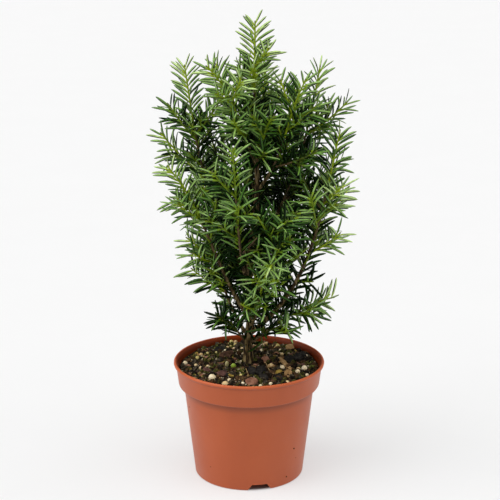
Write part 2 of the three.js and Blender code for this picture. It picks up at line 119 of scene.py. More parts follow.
# ---- Sizes of what only the looks have ----

# Fine twigs stand on a core every so often, the lower ones longer.
TWIG = {"spacing": 18, "first": 8, "last_share": 0.6, "share": 0.5, "shortest": 9, "longest": 24,
        "opening": 48, "turn": 70, "turn_spread": 0.6, "apart": 6, "apart_own": 4.2, "from_length": 26,
        "root_radius": 0.85, "tip_radius": 0.6, "steps": 5}

# Short twigs on the bare stretch of a bough and on the trunk, from one share or height to another, darker in
# painted shade; light is how much less painted light their needles get.
INNER = {"bough": (0.2, 0.95), "trunk": (146, 310), "spacing": 13, "length": 17, "spread": 5, "opening": 62,
         "turn": 50, "light": -0.16}

# The axes as they look: green for their youngest stretch and brown below it. The deeper in the crown an
# axis grows, the shorter its green stretch, and the darker it is, in painted shade.
AXIS = {"shoot_root": 1.05, "tip": 0.7, "sides": 10, "step": 1.6, "ridges": 0.06, "knots": 0.05,
        "knot_turn": 2.1, "shades": [-0.68, -0.43], "green_lengths": [62, 52, 30]}

# Needles stand in a spiral, arch outward, and close up and shorten toward a tip.
NEEDLE = {
    "length": 21.5, "width": 2.6, "thick": 0.8, "pitch": 1.78, "root_out": 0.5,
    "sizes": (0.86, 1.1), "root_size": 0.7, "root_reach": 25, "tip_size": 0.66, "full_from_tip": 11,
    "opening": 50, "spread": 6, "tip_opening": 28, "arch": 30, "arches": (0.75, 1.25), "sway": 0.1,
    "lift": 0.06, "twist": 0.2, "flat": 1.3, "thin_edge": 0.35,
}
# Where they stand: how the spiral parts to two sides, how the flat side of a spray faces, how much of a
# line stays bare at its foot, and how far down the bough, the trunk and the crown they grow.
SPRAY = {
    "place_jitter": 0.35, "turn_jitter": 0.2, "ranks": [0.36, 0.3], "tilt": 0.12, "to_front": 2.6,
    "to_top": 0.3, "near_axis": 12, "bare_shoot": 6, "bare_twig": 4, "bough_from": 0.25, "trunk_from": 300,
    "lowest": 144, "foot_reach": 18, "young": 24,
}
# Further down the crown the tips of shoots are fully grown.
GROWN = {"below": 330, "over": 40, "size": 0.94, "opening": 58}

# A short twig that hangs from one limb beside the trunk: where on the limb, its heading and its length.
HANGING = {"limb": "foot_right", "place": 0.34, "toward": 300, "slope": -76, "length": 13}

# The photo's camera: where it stands in metres, its pitch in degrees, its lens and its sensor.
CAMERA = {"place": (0.001, -1.352, 0.6208), "pitch": 73.9, "lens": 103.97, "sensor": 36}


# ---- Small helpers ----


def srgb(red, green, blue):
    """A display colour from 0 to 255 as a linear one."""
    def linear(value):
        share = value / 255
        return share / 12.92 if share <= 0.04045 else ((share + 0.055) / 1.055) ** 2.4

    return (linear(red), linear(green), linear(blue), 1)


def mix(low, high, share):
    return low + (high - low) * share


def unit(vectors):
    """Vectors scaled to length 1, along the last axis."""
    return vectors / np.linalg.norm(vectors, axis=-1, keepdims=True)


def seeded(seed):
    """Seeded numbers from 0 to 1, the same as in the part's source."""
    state = seed

    def draw():
        nonlocal state
        state = (1664525 * state + 1013904223) % 2**32
        return state / 2**32

    draw()
    return draw


def heading(toward, slope):
    """The unit vector toward a compass angle, raised by a slope."""
    turn = math.radians(toward)
    rise = math.radians(slope)
    return np.array([math.cos(turn) * math.cos(rise), math.sin(turn) * math.cos(rise), math.sin(rise)])


def level_across(direction):
    """The level unit vector square to a direction."""
    across = np.cross(UP, direction)
    size = np.linalg.norm(across)
    return np.array([1.0, 0.0, 0.0]) if size < 1e-3 else across / size


def length_of(line):
    return float(np.linalg.norm(np.diff(line, axis=0), axis=1).sum())


def along(line, places):
    """The points of a line at distances from its start."""
    passed = np.concatenate([[0], np.cumsum(np.linalg.norm(np.diff(line, axis=0), axis=1))])
    return np.stack([np.interp(places, passed, line[:, axis]) for axis in range(3)], axis=1)


def tangents(line):
    """The way ahead at each point of a line."""
    return unit(np.gradient(line, axis=0))


def frames_along(line):
    """Two ways square to a line at each point, which don't twist along it."""
    ahead = tangents(line)
    asides = [level_across(ahead[0])]
    for way in ahead[1:]:
        aside = asides[-1] - way * np.dot(asides[-1], way)
        asides.append(aside / np.linalg.norm(aside))
    aside = np.array(asides)
    return aside, np.cross(ahead, aside)


def nearest(points, line):
    """How far each point is from a line, and the share of the line where it is nearest."""
    starts = line[:-1]
    spans = np.diff(line, axis=0)
    away = points[:, None] - starts[None]
    place = np.clip((away * spans).sum(2) / (spans * spans).sum(1), 0, 1)
    gaps = np.linalg.norm(away - place[..., None] * spans, axis=2)
    best = gaps.argmin(1)
    rows = np.arange(len(points))
    return gaps[rows, best], (best + place[rows, best]) / len(spans)


def distance_to(points, lines):
    """How far each point is from the nearest of several lines."""
    return np.min([nearest(points, line)[0] for line in lines], axis=0)


# ---- The growth rule ----


def trunk_point(share):
    """A point of the trunk's middle, on a Catmull-Rom curve through TRUNK_LINE."""
    line = np.array(TRUNK_LINE, float)
    padded = np.vstack([2 * line[0] - line[1], line, 2 * line[-1] - line[-2]])
    place = share * (len(line) - 1)
    i = min(int(place), len(line) - 2)
    f = place - i
    before, start, end, after = padded[i:i + 4]
    bend = 2 * before - 5 * start + 4 * end - after
    twist = 3 * start - before - 3 * end + after
    return 0.5 * (2 * start + (end - before) * f + bend * f**2 + twist * f**3)


TRUNK_TOP = TRUNK_LINE[-1][2]
GROUND = SOIL["heap_height"] + GAP
trunk_line = np.array([trunk_point(i / 26) for i in range(27)])


def trunk_radius(height):
    """The trunk's radius at a height: an even taper over a root flare."""
    taper = mix(TRUNK["foot_radius"], TRUNK["top_radius"], (height - GROUND) / (TRUNK_TOP - GROUND))
    return taper + TRUNK["flare"] * np.exp((GROUND - height) / TRUNK["flare_height"])


def trunk_at(height):
    """The trunk's middle at a height."""
    line = np.array([trunk_point(i / 60) for i in range(61)])
    return np.array([np.interp(height, line[:, 2], line[:, axis]) for axis in range(3)])


def bezier(controls, share):
    """A point of the Bezier curve with these control points."""
    points = list(controls)
    while len(points) > 1:
        points = [mix(points[i], points[i + 1], share) for i in range(len(points) - 1)]
    return points[0]


def points_on(controls, first, last, steps):
    return np.array([bezier(controls, mix(first, last, i / steps)) for i in range(steps + 1)])


def limb_controls(row):
    """The control points of a limb's curve, from the trunk's middle to the limb's tip."""
    root = trunk_at(row["leave"])
    tip = heading(row["toward"], 0) * row["reach"] + UP * row["top"]
    pull = np.linalg.norm(tip - root) * LIMB["bend"]
    return (root, root + heading(row["toward"], row["rise"]) * pull,
            tip - heading(row["toward"], row["end"]) * pull, tip)


def grown(row):
    """A limb's curve parted into its bare bough and, a gap further on, the stem of its mass."""
    controls = limb_controls(row)
    length = length_of(points_on(controls, 0, 1, 200))
    start = row["bare"] + GAP / length if row["bare"] else 0
    bough = points_on(controls, 0, row["bare"], LIMB["steps"]) if row["bare"] else None
    stem = points_on(controls, start, 1, SHOOT["stem_steps"])
    tip_share = LIMB["tip_share"] if row["bare"] else 1
    return {**row, "controls": controls, "bough": bough, "stem": stem,
            "stem_radius": row["girth"] * tip_share}


def grown_leader():
    """The leader as a limb of its own, a gap above the trunk's tip."""
    foot = trunk_point(1)
    tip = np.array(LEADER["tip"], float)
    start = foot + unit(tip - foot) * GAP
    controls = (start, mix(start, tip, 1 / 3), mix(start, tip, 2 / 3), tip)
    return {**LEADER, "name": "leader", "bare": 0, "controls": controls, "bough": None,
            "stem": points_on(controls, 0, 1, SHOOT["stem_steps"]), "stem_radius": TRUNK["top_radius"]}


limbs = [grown(dict(zip(LIMB_FIELDS, row))) for row in LIMB_ROWS] + [grown_leader()]


def bough_radius(limb, share):
    return limb["girth"] * mix(1, LIMB["tip_share"], share)


def crown_reach(points):
    """How far points are from the crown's axis, and how far the crown reaches at their height."""
    heights, radii = zip(*CROWN)
    from_axis = np.hypot(points[:, 0] - CROWN_AXIS[0], points[:, 1] - CROWN_AXIS[1])
    return from_axis, np.interp(points[:, 2], heights, radii)


def in_crown(points, radius):
    """Whether balls are inside the crown and clear of the wood."""
    from_axis, reach = crown_reach(points)
    inside = (points[:, 2] >= CROWN_FLOOR + radius) & (from_axis <= reach)
    distance, share = nearest(points, trunk_line)
    heights = np.array([trunk_point(one)[2] for one in share])
    inside &= distance > trunk_radius(heights) + radius + GAP
    for limb in limbs:
        if limb["bough"] is not None:
            distance, share = nearest(points, limb["bough"])
            inside &= distance > bough_radius(limb, share) + radius + GAP
    return inside


def clear_of_others(points, distance, own):
    """Whether points are further than a distance from the cores of every other limb."""
    others = [core for limb in limbs if limb is not own for core in limb["cores"]]
    return distance_to(points, others) > distance


def leaving(ahead, roll, opening):
    """The direction that leaves a line's way ahead by an opening angle, rolled round it."""
    aside = level_across(ahead)
    out = aside * math.cos(roll) + np.cross(ahead, aside) * math.sin(roll)
    return ahead * math.cos(opening) + out * math.sin(opening)


def shoot_line(root, out, length, steps):
    """A shoot's line: it leaves in one direction and bends upward."""
    bend = root + out * (length / 2)
    lifted = unit(out + UP * SHOOT["lift"])
    return points_on((root, bend, bend + lifted * (length / 2)), 0, 1, steps)


def kept(line, fits):
    """A line's points up to the first, after its root, that doesn't fit."""
    misfits = np.flatnonzero(~fits[1:])
    return line if len(misfits) == 0 else line[:misfits[0] + 1]


def side_shoots(own):
    """The side shoots of a limb, each a line that stops where it would crowd another limb's cores."""
    draw = seeded(own["seed"])
    lines = []
    for i in range(own["shoots"]):
        share = i / (own["shoots"] - 1)
        at = mix(own["bare"] + SHOOT["first"], own.get("last", SHOOT["last"]), share) + (draw() - 0.5) * 0.05
        root = bezier(own["controls"], at)
        ahead = unit(bezier(own["controls"], at + 0.01) - bezier(own["controls"], at - 0.01))
        roll = math.radians(own["turn"] + i * SHOOT["turn"] + (draw() - 0.5) * SHOOT["turn_spread"])
        opening = math.radians(SHOOT["opening"] + (draw() - 0.5) * SHOOT["opening_spread"])
        length = own["long"] * (1 - SHOOT["shorten"] * share) * (0.8 + 0.4 * draw())
        line = shoot_line(root, leaving(ahead, roll, opening), length, SHOOT["steps"])
        fits = in_crown(line, SHOOT["root_radius"]) & clear_of_others(line, SHOOT["apart"], own)
        lines.append(kept(line, fits))
    return [line for line in lines if length_of(line) >= SHOOT["shortest"]]


def kept_twig(line, fits):
    """A twig up to where it stops fitting, as a list that is empty if it comes out too short."""
    line = kept(line, fits)
    return [line] if length_of(line) >= TWIG["shortest"] else []


def fine_twigs(own, core, number):
    """The fine twigs of one core, which stay in their limb's space and off its other cores."""
    length = length_of(core)
    if length < TWIG["from_length"]:
        return []
    draw = seeded(own["seed"] * 7 + number * 31 + 5)
    places = np.arange(TWIG["first"], length * TWIG["last_share"], TWIG["spacing"])
    ways = tangents(along(core, np.linspace(0, length, 40)))
    others = [line for line in own["cores"] if line is not core]
    lines = []
    for i, (place, root) in enumerate(zip(places, along(core, places))):
        ahead = ways[int(place / length * 39)]
        roll = math.radians(own["turn"] + TWIG["turn"] + (i + number) * SHOOT["turn"])
        roll += (draw() - 0.5) * TWIG["turn_spread"]
        size = min((length - place) * TWIG["share"] * (0.75 + 0.5 * draw()), TWIG["longest"])
        line = shoot_line(root, leaving(ahead, roll, math.radians(TWIG["opening"])), size, TWIG["steps"])
        fits = in_crown(line, TWIG["root_radius"]) & clear_of_others(line, TWIG["apart"], own)
        free = distance_to(line, others) > TWIG["apart_own"] if others else fits
        free[:2] = True
        lines += kept_twig(line, fits & free)
    return lines


def inner_twigs(line, seed):
    """Short twigs dealt along a line of old wood, which stay inside the crown."""
    draw = seeded(seed * 11 + 3)
    ahead = unit(line[-1] - line[0])
    lines = []
    for i, place in enumerate(np.arange(INNER["spacing"] / 2, length_of(line), INNER["spacing"])):
        root, = along(line, np.array([place]))
        roll = math.radians(INNER["turn"] + i * SHOOT["turn"])
        size = INNER["length"] + (draw() - 0.5) * 2 * INNER["spread"]
        twig = shoot_line(root, leaving(ahead, roll, math.radians(INNER["opening"])), size, TWIG["steps"])
        fits = in_crown(twig, TWIG["root_radius"])
        fits[:2] = True
        lines += kept_twig(twig, fits)
    return lines


def trunk_between(low, high):
    """The trunk's middle between two heights."""
    return trunk_line[(trunk_line[:, 2] > low) & (trunk_line[:, 2] < high)]


def old_wood(limb):
    """The old wood of a limb that carries inner twigs: its bough, and for the leader the trunk."""
    if limb["name"] == "leader":
        return [trunk_between(*INNER["trunk"])]
    if limb["bough"] is None:
        return []
    first, last = INNER["bough"]
    return [points_on(limb["controls"], limb["bare"] * first, limb["bare"] * last, 16)]


def hanging_twig(own):
    """The twig that hangs down beside the trunk."""
    root = bezier(own["controls"], HANGING["place"])
    end = root + heading(HANGING["toward"], HANGING["slope"]) * HANGING["length"]
    return np.array([mix(root, end, i / 5) for i in range(6)])


def grow():
    """Gives every limb its cores, and then its fine twigs and its inner ones."""
    for limb in limbs:
        limb["cores"] = [limb["stem"]]
    for limb in limbs:
        limb["cores"] += side_shoots(limb)
    for limb in limbs:
        limb["twigs"] = [line for i, core in enumerate(limb["cores"]) for line in fine_twigs(limb, core, i)]
        limb["inner"] = [twig for line in old_wood(limb) for twig in inner_twigs(line, limb["seed"])]
        if limb["name"] == HANGING["limb"]:
            limb["twigs"].append(hanging_twig(limb))


grow()


# ---- Meshes ----


class Pile:
    """Vertices, faces and the look of each face, gathered for one mesh."""

    def __init__(self):
        self.points = []
        self.faces = []
        self.looks = []
        self.count = 0

    def add(self, points, faces, look=0):
        """Adds points in millimetres and faces that number them from 0."""
        looks = look if isinstance(look, (list, np.ndarray)) else [look] * len(faces)
        self.points.append(np.asarray(points, float))
        self.faces.extend(tuple(int(corner) + self.count for corner in face) for face in faces)
        self.looks.extend(int(one) for one in looks)
        self.count += len(points)


def piece(name, pile, looks, replaced=(), smooth=True):
    """A pile as a piece of the object, with its materials and the nodes it stands for."""
    mesh = bpy.data.meshes.new(name)
    mesh.from_pydata((np.concatenate(pile.points) * MM).tolist(), [], pile.faces)
    mesh.polygons.foreach_set("material_index", pile.looks)
    mesh.polygons.foreach_set("use_smooth", [smooth] * len(mesh.polygons))
    for look in looks:
        mesh.materials.append(look)
    mesh.update()
    thing = bpy.data.objects.new(name, mesh)
    bpy.context.scene.collection.objects.link(thing)
    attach(thing, "root")
    if replaced:
        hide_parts(*replaced)
    return thing


def ring_faces(rings, sides):
    """The four-cornered faces between rings of points, each ring closed on itself."""
    faces = []
    for ring in range(rings - 1):
        for side in range(sides):
            low = ring * sides + side
            next_low = ring * sides + (side + 1) % sides
            faces.append((low, next_low, next_low + sides, low + sides))
    return faces


def angles_round(count):
    """Even angles all the way round."""
    return np.arange(count) * 2 * math.pi / count


def closed_faces(rings, sides):
    """The faces between rings of points, and the two that close the ends."""
    last = (rings - 1) * sides
    return ring_faces(rings, sides) + [tuple(reversed(range(sides))), tuple(range(last, last + sides))]


def tube(pile, line, radii, sides, look=0):
    """Adds a closed tube. A radius may be a number for a ring or a list with one for each side."""
    aside, over = frames_along(line)
    angles = angles_round(sides)
    spokes = aside[:, None] * np.cos(angles)[None, :, None] + over[:, None] * np.sin(angles)[None, :, None]
    sizes = np.asarray(radii, float)
    if sizes.ndim == 1:
        sizes = np.repeat(sizes[:, None], sides, axis=1)
    points = (line[:, None] + spokes * sizes[..., None]).reshape(-1, 3)
    pile.add(points, closed_faces(len(line), sides), look)


def ball_shape(detail):
    """The points and faces of a round lump of radius 1."""
    shape = bmesh.new()
    bmesh.ops.create_icosphere(shape, subdivisions=detail, radius=1)
    points = np.array([vertex.co[:] for vertex in shape.verts])
    faces = [tuple(vertex.index for vertex in face.verts) for face in shape.faces]
    shape.free()
    return points, faces


def turn_matrix(random):
    """A random turn."""
    axes, _ = np.linalg.qr(random.normal(size=(3, 3)))
    return axes if np.linalg.det(axes) > 0 else -axes


# ---- Materials ----


def grey(value):
    return (value, value, value, 1)


def look(name, colour, roughness, gloss=0.5):
    """A material with a Principled shader."""
    made = bpy.data.materials.new(name)
    made.use_nodes = True
    shade(made, {"Base Color": colour, "Roughness": roughness, "Specular IOR Level": gloss})
    return made


def plug(made, socket, value):
    """Sets a socket of a material to a value, or links it to what another node gives."""
    if isinstance(value, bpy.types.NodeSocket):
        made.node_tree.links.new(value, socket)
    else:
        socket.default_value = value


def shade(made, inputs):
    """Sets or links inputs of a material's shader."""
    for name, value in inputs.items():
        plug(made, made.node_tree.nodes["Principled BSDF"].inputs[name], value)


def add_node(made, kind, inputs):
    """Adds a node to a material and sets or links its inputs, which are given by name or number."""
    node = made.node_tree.nodes.new("ShaderNode" + kind)
    for name, value in inputs.items():
        plug(made, node.inputs[name], value)
    return node


def object_place(made):
    """The object's own coordinates, which are the same for every piece."""
    return add_node(made, "TexCoord", {}).outputs["Object"]


def grain(made, scale, detail=4, stretch=(1, 1, 1)):
    """A noise over the object's own coordinates, scale times a metre fine."""
    mapping = add_node(made, "Mapping", {"Vector": object_place(made), "Scale": stretch})
    texture = add_node(made, "TexNoise",
                       {"Vector": mapping.outputs["Vector"], "Scale": scale, "Detail": detail})
    return texture.outputs["Fac"]


def ramp(made, value, stops):
    """A colour for a value, from stops of (place, colour)."""
    node = add_node(made, "ValToRGB", {"Fac": value})
    marks = node.color_ramp.elements
    while len(marks) < len(stops):
        marks.new(0.5)
    for mark, (place, colour) in zip(marks, stops):
        mark.position = place
        mark.color = colour
    return node.outputs["Color"]


def tinted(made, value, stops):
    """Colours a material by a value."""
    shade(made, {"Base Color": ramp(made, value, stops)})


def roughened(made, value, low, high):
    """Lets a material's roughness follow a value."""
    node = add_node(made, "MapRange", {"Value": value, "To Min": low, "To Max": high})
    shade(made, {"Roughness": node.outputs["Result"]})


def bumped(made, value, height):
    """Adds a relief of some millimetres that follows a value."""
    node = add_node(made, "Bump", {"Height": value, "Distance": height * MM})
    shade(made, {"Normal": node.outputs["Normal"]})


def needle_look(name, tint, lighter, roughness, gloss):
    """A needle's face: a green with a faint change along it, and its gloss."""
    made = look(name, srgb(*tint), roughness, gloss)
    paler = srgb(*(min(255, value * lighter) for value in tint))
    tinted(made, grain(made, 160, 3), [(0.3, srgb(*tint)), (0.7, paler)])
    bumped(made, grain(made, 1400, 2, (1, 1, 0.3)), 0.05)
    return made


def height_tone(made, tones):
    """A grey for the height above the ground, from tones of (height in millimetres, grey)."""
    top = tones[-1][0]
    parts = add_node(made, "SeparateXYZ", {"Vector": object_place(made)})
    share = add_node(made, "Math", {0: parts.outputs["Z"], 1: top * MM})
    share.operation = "DIVIDE"
    return ramp(made, share.outputs["Value"], [(height / top, grey(tone)) for height, tone in tones])


def toned(made, colour, tones):
    """A colour made darker by its height's tone."""
    mixed = add_node(made, "MixRGB", {"Fac": 1, "Color1": colour, "Color2": height_tone(made, tones)})
    mixed.blend_type = "MULTIPLY"
    return mixed.outputs["Color"]


# How light the bark is by height: darker further up.
BARK_TONES = [(0, 1), (150, 1), (210, 0.74), (420, 0.6)]


def bark_look():
    """Young bark: flaking brown over red-brown, finely fissured along the wood."""
    made = look("bark", srgb(92, 66, 46), 0.8, 0.2)
    stops = [(0.38, srgb(22, 10, 2)), (0.5, srgb(90, 72, 38)), (0.6, srgb(152, 132, 90))]
    colour = ramp(made, grain(made, 480, 4, (1, 1, 0.16)), stops)
    shade(made, {"Base Color": toned(made, colour, BARK_TONES)})
    bumped(made, grain(made, 900, 5, (1, 1, 0.25)), 0.35)
    return made


def twig_look():
    """Two-year wood: thin brown bark that still has some green in it."""
    made = look("twig_brown", srgb(112, 80, 44), 0.65)
    value = grain(made, 300, 4, (1, 1, 0.4))
    tinted(made, value, [(0.32, srgb(62, 43, 22)), (0.6, srgb(100, 78, 42)), (0.75, srgb(104, 100, 48))])
    bumped(made, grain(made, 1200, 3, (1, 1, 0.3)), 0.15)
    return made


# This year's wood, tinted by painted light and painted shade for its place in the crown: name and two tints.
GREEN_WOOD = [
    ("twig_fresh_painted_light", (116, 140, 8), (152, 170, 30)),
    ("twig_grown_painted_light", (96, 122, 10), (124, 146, 26)),
    ("twig_painted_shade", (56, 70, 12), (84, 96, 24)),
]


def green_look(name, low, high):
    """This year's wood: yellow-green and ridged."""
    made = look(name, srgb(*low), 0.5, 0.2)
    tinted(made, grain(made, 220, 3), [(0.3, srgb(*low)), (0.7, srgb(*high))])
    bumped(made, grain(made, 1400, 2, (1, 1, 0.2)), 0.1)
    return made


def bud_look():
    """A bud: green and brown scales."""
    made = look("bud", srgb(128, 128, 60), 0.5)
    tinted(made, grain(made, 900, 3), [(0.35, srgb(84, 80, 34)), (0.65, srgb(110, 124, 46))])
    return made


# How light the plastic is by height: a painted shadow under the collar, painted shade under the lip, and a
# painted highlight on the lip's edge.
POT_PAINTED_SHADE_AND_HIGHLIGHT = [(0, 0.78), (84, 0.78), (87.5, 0.64), (90, 0.5), (93.3, 0.46), (94.3, 0.76), (111.8, 0.78),
             (113, 0.6), (114.2, 0.6), (115.2, 0.86), (117.3, 0.96)]


def plastic(name, tints, gloss):
    """Moulded terracotta-coloured plastic: satin, with faint scuffs and dust, and painted shade and a painted
    highlight by height.
    """
    tints = [srgb(*tint) for tint in tints]
    made = look(name, tints[1], 0.42, gloss)
    colour = ramp(made, grain(made, 26, 6, (1, 1, 0.5)), list(zip((0.25, 0.55, 0.8), tints)))
    # Painted shadow under the collar and the lip, and a painted highlight on the lip's edge.
    shade(made, {"Base Color": toned(made, colour, POT_PAINTED_SHADE_AND_HIGHLIGHT)})
    roughened(made, grain(made, 60, 5), 0.34, 0.52)
    bumped(made, grain(made, 1800, 3), 0.04)
    return made


def plain_grain(name, dark, middle, light, scale, roughness, relief):
    """A matt material of three tints."""
    made = look(name, srgb(*middle), roughness, 0.15)
    tinted(made, grain(made, scale, 5), [(0.3, srgb(*dark)), (0.5, srgb(*middle)), (0.7, srgb(*light))])
    bumped(made, grain(made, scale * 3, 4), relief)
    return made


# ---- Wood ----


# Bark is made of ridges along the wood and of flakes: how close the ridges stand round it, how long they
# are, how much longer than wide a flake is, and the share of each.
FISSURES = {"ridges": 2.2, "ridge_length": 11, "flake_length": 2.5, "by_ridge": 0.6, "by_flake": 0.7}


def fissures(point, around, fine):
    """The bark's relief at a place on the wood, from -1 to 1: ridges that run along it."""
    round_x = math.cos(around) * FISSURES["ridges"]
    round_y = math.sin(around) * FISSURES["ridges"]
    ridge = noise.noise(Vector((round_x, round_y, point[2] / FISSURES["ridge_length"])))
    flake_length = FISSURES["flake_length"] * fine
    flake = noise.noise(Vector((point[0] / fine, point[1] / fine, point[2] / flake_length)))
    return FISSURES["by_ridge"] * ridge + FISSURES["by_flake"] * flake


def barked(line, radii, sides, depth, fine):
    """Ring radii of a limb with its bark's relief, one for each side."""
    aside, over = frames_along(line)
    angles = angles_round(sides)
    rows = []
    for i, point in enumerate(line):
        row = []
        for angle in angles:
            spoke = aside[i] * math.cos(angle) + over[i] * math.sin(angle)
            place = point + spoke * radii[i]
            row.append(radii[i] + depth * fissures(place, angle, fine))
        rows.append(row)
    return np.array(rows)


# Bark: rings along the wood, sides round it, the depth of its relief and how fine its flakes are.
BARK = {"trunk": (240, 40, 0.45, 2.6), "bough": (60, 22, 0.22, 1.8)}


def trunk_bark():
    """The trunk with its bark, from just under the mix to the leader."""
    steps, sides, depth, fine = BARK["trunk"]
    line = np.array([trunk_point(i / steps) for i in range(steps + 1)])
    pile = Pile()
    tube(pile, line, barked(line, trunk_radius(line[:, 2]), sides, depth, fine), sides)
    return pile


def bough_bark():
    """Every bough with its bark, from inside the trunk to where its mass begins."""
    steps, sides, depth, fine = BARK["bough"]
    pile = Pile()
    for limb in limbs:
        if limb["bough"] is None:
            continue
        line = points_on(limb["controls"], 0, limb["bare"] + 0.02, steps)
        radii = np.array([bough_radius(limb, i / steps) for i in range(steps + 1)])
        tube(pile, line, barked(line, radii, sides, depth, fine), sides)
    return pile


# Painted light in the crown: needles and this year's wood are tinted lighter toward the crown's outline and
# top and darker in its depth. tip adds real freshness toward a shoot's tip, old painted shade on the old
# wood, by_side painted light on a spray's outer side, and by_spray and by_needle random changes. Some limbs
# get more or less painted light than their place tells.
LIGHT = {"axis": -0.15, "outline": 0.98, "top_from": 285, "top_reach": 125, "tip": 0.22, "old": -0.25,
         "by_spray": 0.22, "by_needle": 0.22, "by_side": 0.24}
LIMB_PAINTED_LIGHT = {"left_low": 0.17, "left_skirt": 0.24, "right_skirt": 0.06, "front_low": 0.1,
              "foot_left": -0.25, "foot_right": -0.03, "left_high": -0.08, "right_high": 0.03,
              "right_top": -0.14, "right_low": 0.06}


def painted_light_at(points):
    """How much painted light a place gets: the more, the nearer to the crown's outline or its top."""
    from_axis, reach = crown_reach(points)
    outward = mix(LIGHT["axis"], LIGHT["outline"], from_axis / reach)
    return np.maximum(outward, (points[:, 2] - LIGHT["top_from"]) / LIGHT["top_reach"])


def axis_rings(line, root_radius, tip_radius):
    """A thin axis resampled finely, with the ridges that run down from its needles."""
    length = length_of(line)
    count = max(4, int(length / AXIS["step"]))
    fine = along(line, np.linspace(0, length, count + 1))
    taper = mix(root_radius, tip_radius, np.linspace(0, 1, count + 1) ** 0.8)
    ridge = np.cos(np.arange(AXIS["sides"]) * math.pi) * AXIS["ridges"]
    knots = AXIS["knots"] * np.cos(np.arange(count + 1) * AXIS["knot_turn"])
    return fine, taper[:, None] * (1 + ridge[None] + knots[:, None])


def add_axis(brown, green, limb, line, radii_from_to):
    """Adds an axis to the two piles: brown up to its youngest stretch, and green from there."""
    fine, radii = axis_rings(line, *radii_from_to)
    step = length_of(fine) / (len(fine) - 1)
    # The green stretch's length and tint follow the painted light at the axis's tip.
    light = painted_light_at(line[-1:])[0] + LIMB_PAINTED_LIGHT.get(limb["name"], 0)
    shade = int(np.digitize(-light, AXIS["shades"]))
    split = max(0, len(fine) - 1 - int(AXIS["green_lengths"][shade] / step))
    if split >= 2:
        tube(brown, fine[:split + 1], radii[:split + 1], AXIS["sides"])
    start = split if split >= 2 else 0
    tube(green, fine[start:], radii[start:], AXIS["sides"], shade)


def axes():
    """Every stem, shoot and fine twig, as a brown pile and a green one."""
    brown = Pile()
    green = Pile()
    for limb in limbs:
        for i, core in enumerate(limb["cores"]):
            root = AXIS["shoot_root"] if i else max(limb["stem_radius"], AXIS["shoot_root"])
            add_axis(brown, green, limb, core, (root, AXIS["tip"]))
        for line in limb["twigs"] + limb["inner"]:
            add_axis(brown, green, limb, line, (TWIG["root_radius"], TWIG["tip_radius"]))
    return brown, green


# A bud: heights from its foot and radii there, how far its foot sits in the wood, and how much its scales
# stand out.
BUD = {"profile": [(0, 0.31), (0.5, 0.62), (1.2, 0.713), (2.0, 0.496), (2.7, 0.186)], "sunk": 0.4,
       "scales": 0.12, "sides": 6}


def buds():
    """A small scaly bud at every tip."""
    scales = 1 + BUD["scales"] * (-1) ** np.arange(BUD["sides"])
    sizes = np.array([radius * scales for _, radius in BUD["profile"]])
    pile = Pile()
    for limb in limbs:
        for line in limb["cores"] + limb["twigs"] + limb["inner"]:
            ahead = tangents(line)[-1]
            rings = np.array([line[-1] + ahead * (up - BUD["sunk"]) for up, _ in BUD["profile"]])
            tube(pile, rings, sizes, BUD["sides"])
    return pile


# ---- Needles ----

# Along a needle: the share of its length, and of its width there. Its paler foot ends at the third.
NEEDLE_RINGS = [(0, 0.26), (0.1, 0.62), (0.26, 0.95), (0.62, 1), (0.84, 0.78), (0.95, 0.4)]

# Across a needle: aside and up, as shares of half its width and of its thickness. Two edges, a raised
# midrib above and a flat keel below.
NEEDLE_SECTION = [(-1, -0.1), (-0.24, 0.5), (0.24, 0.5), (1, -0.1), (0.3, -0.5), (-0.3, -0.5)]


def spray_normal(line):
    """The way a spray's flat side faces: outward from the crown, and at the sides also to the front."""
    outward = line[len(line) // 2] - np.array([*CROWN_AXIS, 0])
    outward[2] = 0
    outward = outward / max(np.linalg.norm(outward), SPRAY["near_axis"])
    to_front = (1 - outward[1]) / 2
    return outward + np.array([0, -SPRAY["to_front"] * to_front, SPRAY["to_top"]])


def jittered(random, values, reach):
    """Values that are each moved at random by up to a reach."""
    return values + random.uniform(-reach, reach, len(values))


def needle_sites(line, bare_root, draw_seed):
    """Where a line's needles stand: roots, ways ahead and out, the spray's normal, and chances."""
    random = np.random.default_rng(draw_seed)
    length = length_of(line)
    places = np.arange(bare_root, length - 0.8, NEEDLE["pitch"])
    if len(places) == 0:
        return None
    places = jittered(random, places, SPRAY["place_jitter"])
    points = along(line, places)
    ahead = tangents(along(line, np.linspace(0, length, 60)))
    ahead = ahead[np.clip((places / length * 59).astype(int), 0, 59)]
    flat = unit(spray_normal(line) + random.normal(0, SPRAY["tilt"], 3))
    over = unit(flat - ahead * (ahead @ flat)[:, None])
    side = np.cross(ahead, over)
    turn = jittered(random, np.radians(np.arange(len(places)) * SHOOT["turn"]), SPRAY["turn_jitter"])
    sideways = np.sqrt(1 - np.clip(ahead @ flat, -1, 1) ** 2)
    for ranks in SPRAY["ranks"]:
        turn = turn + ranks * sideways * np.sin(2 * turn)
    out = over * np.cos(turn)[:, None] + side * np.sin(turn)[:, None]
    return {"root": points, "ahead": ahead, "out": out, "over": over, "from_tip": length - places,
            "from_root": places, "chance": random.uniform(0, 1, (len(places), 5))}


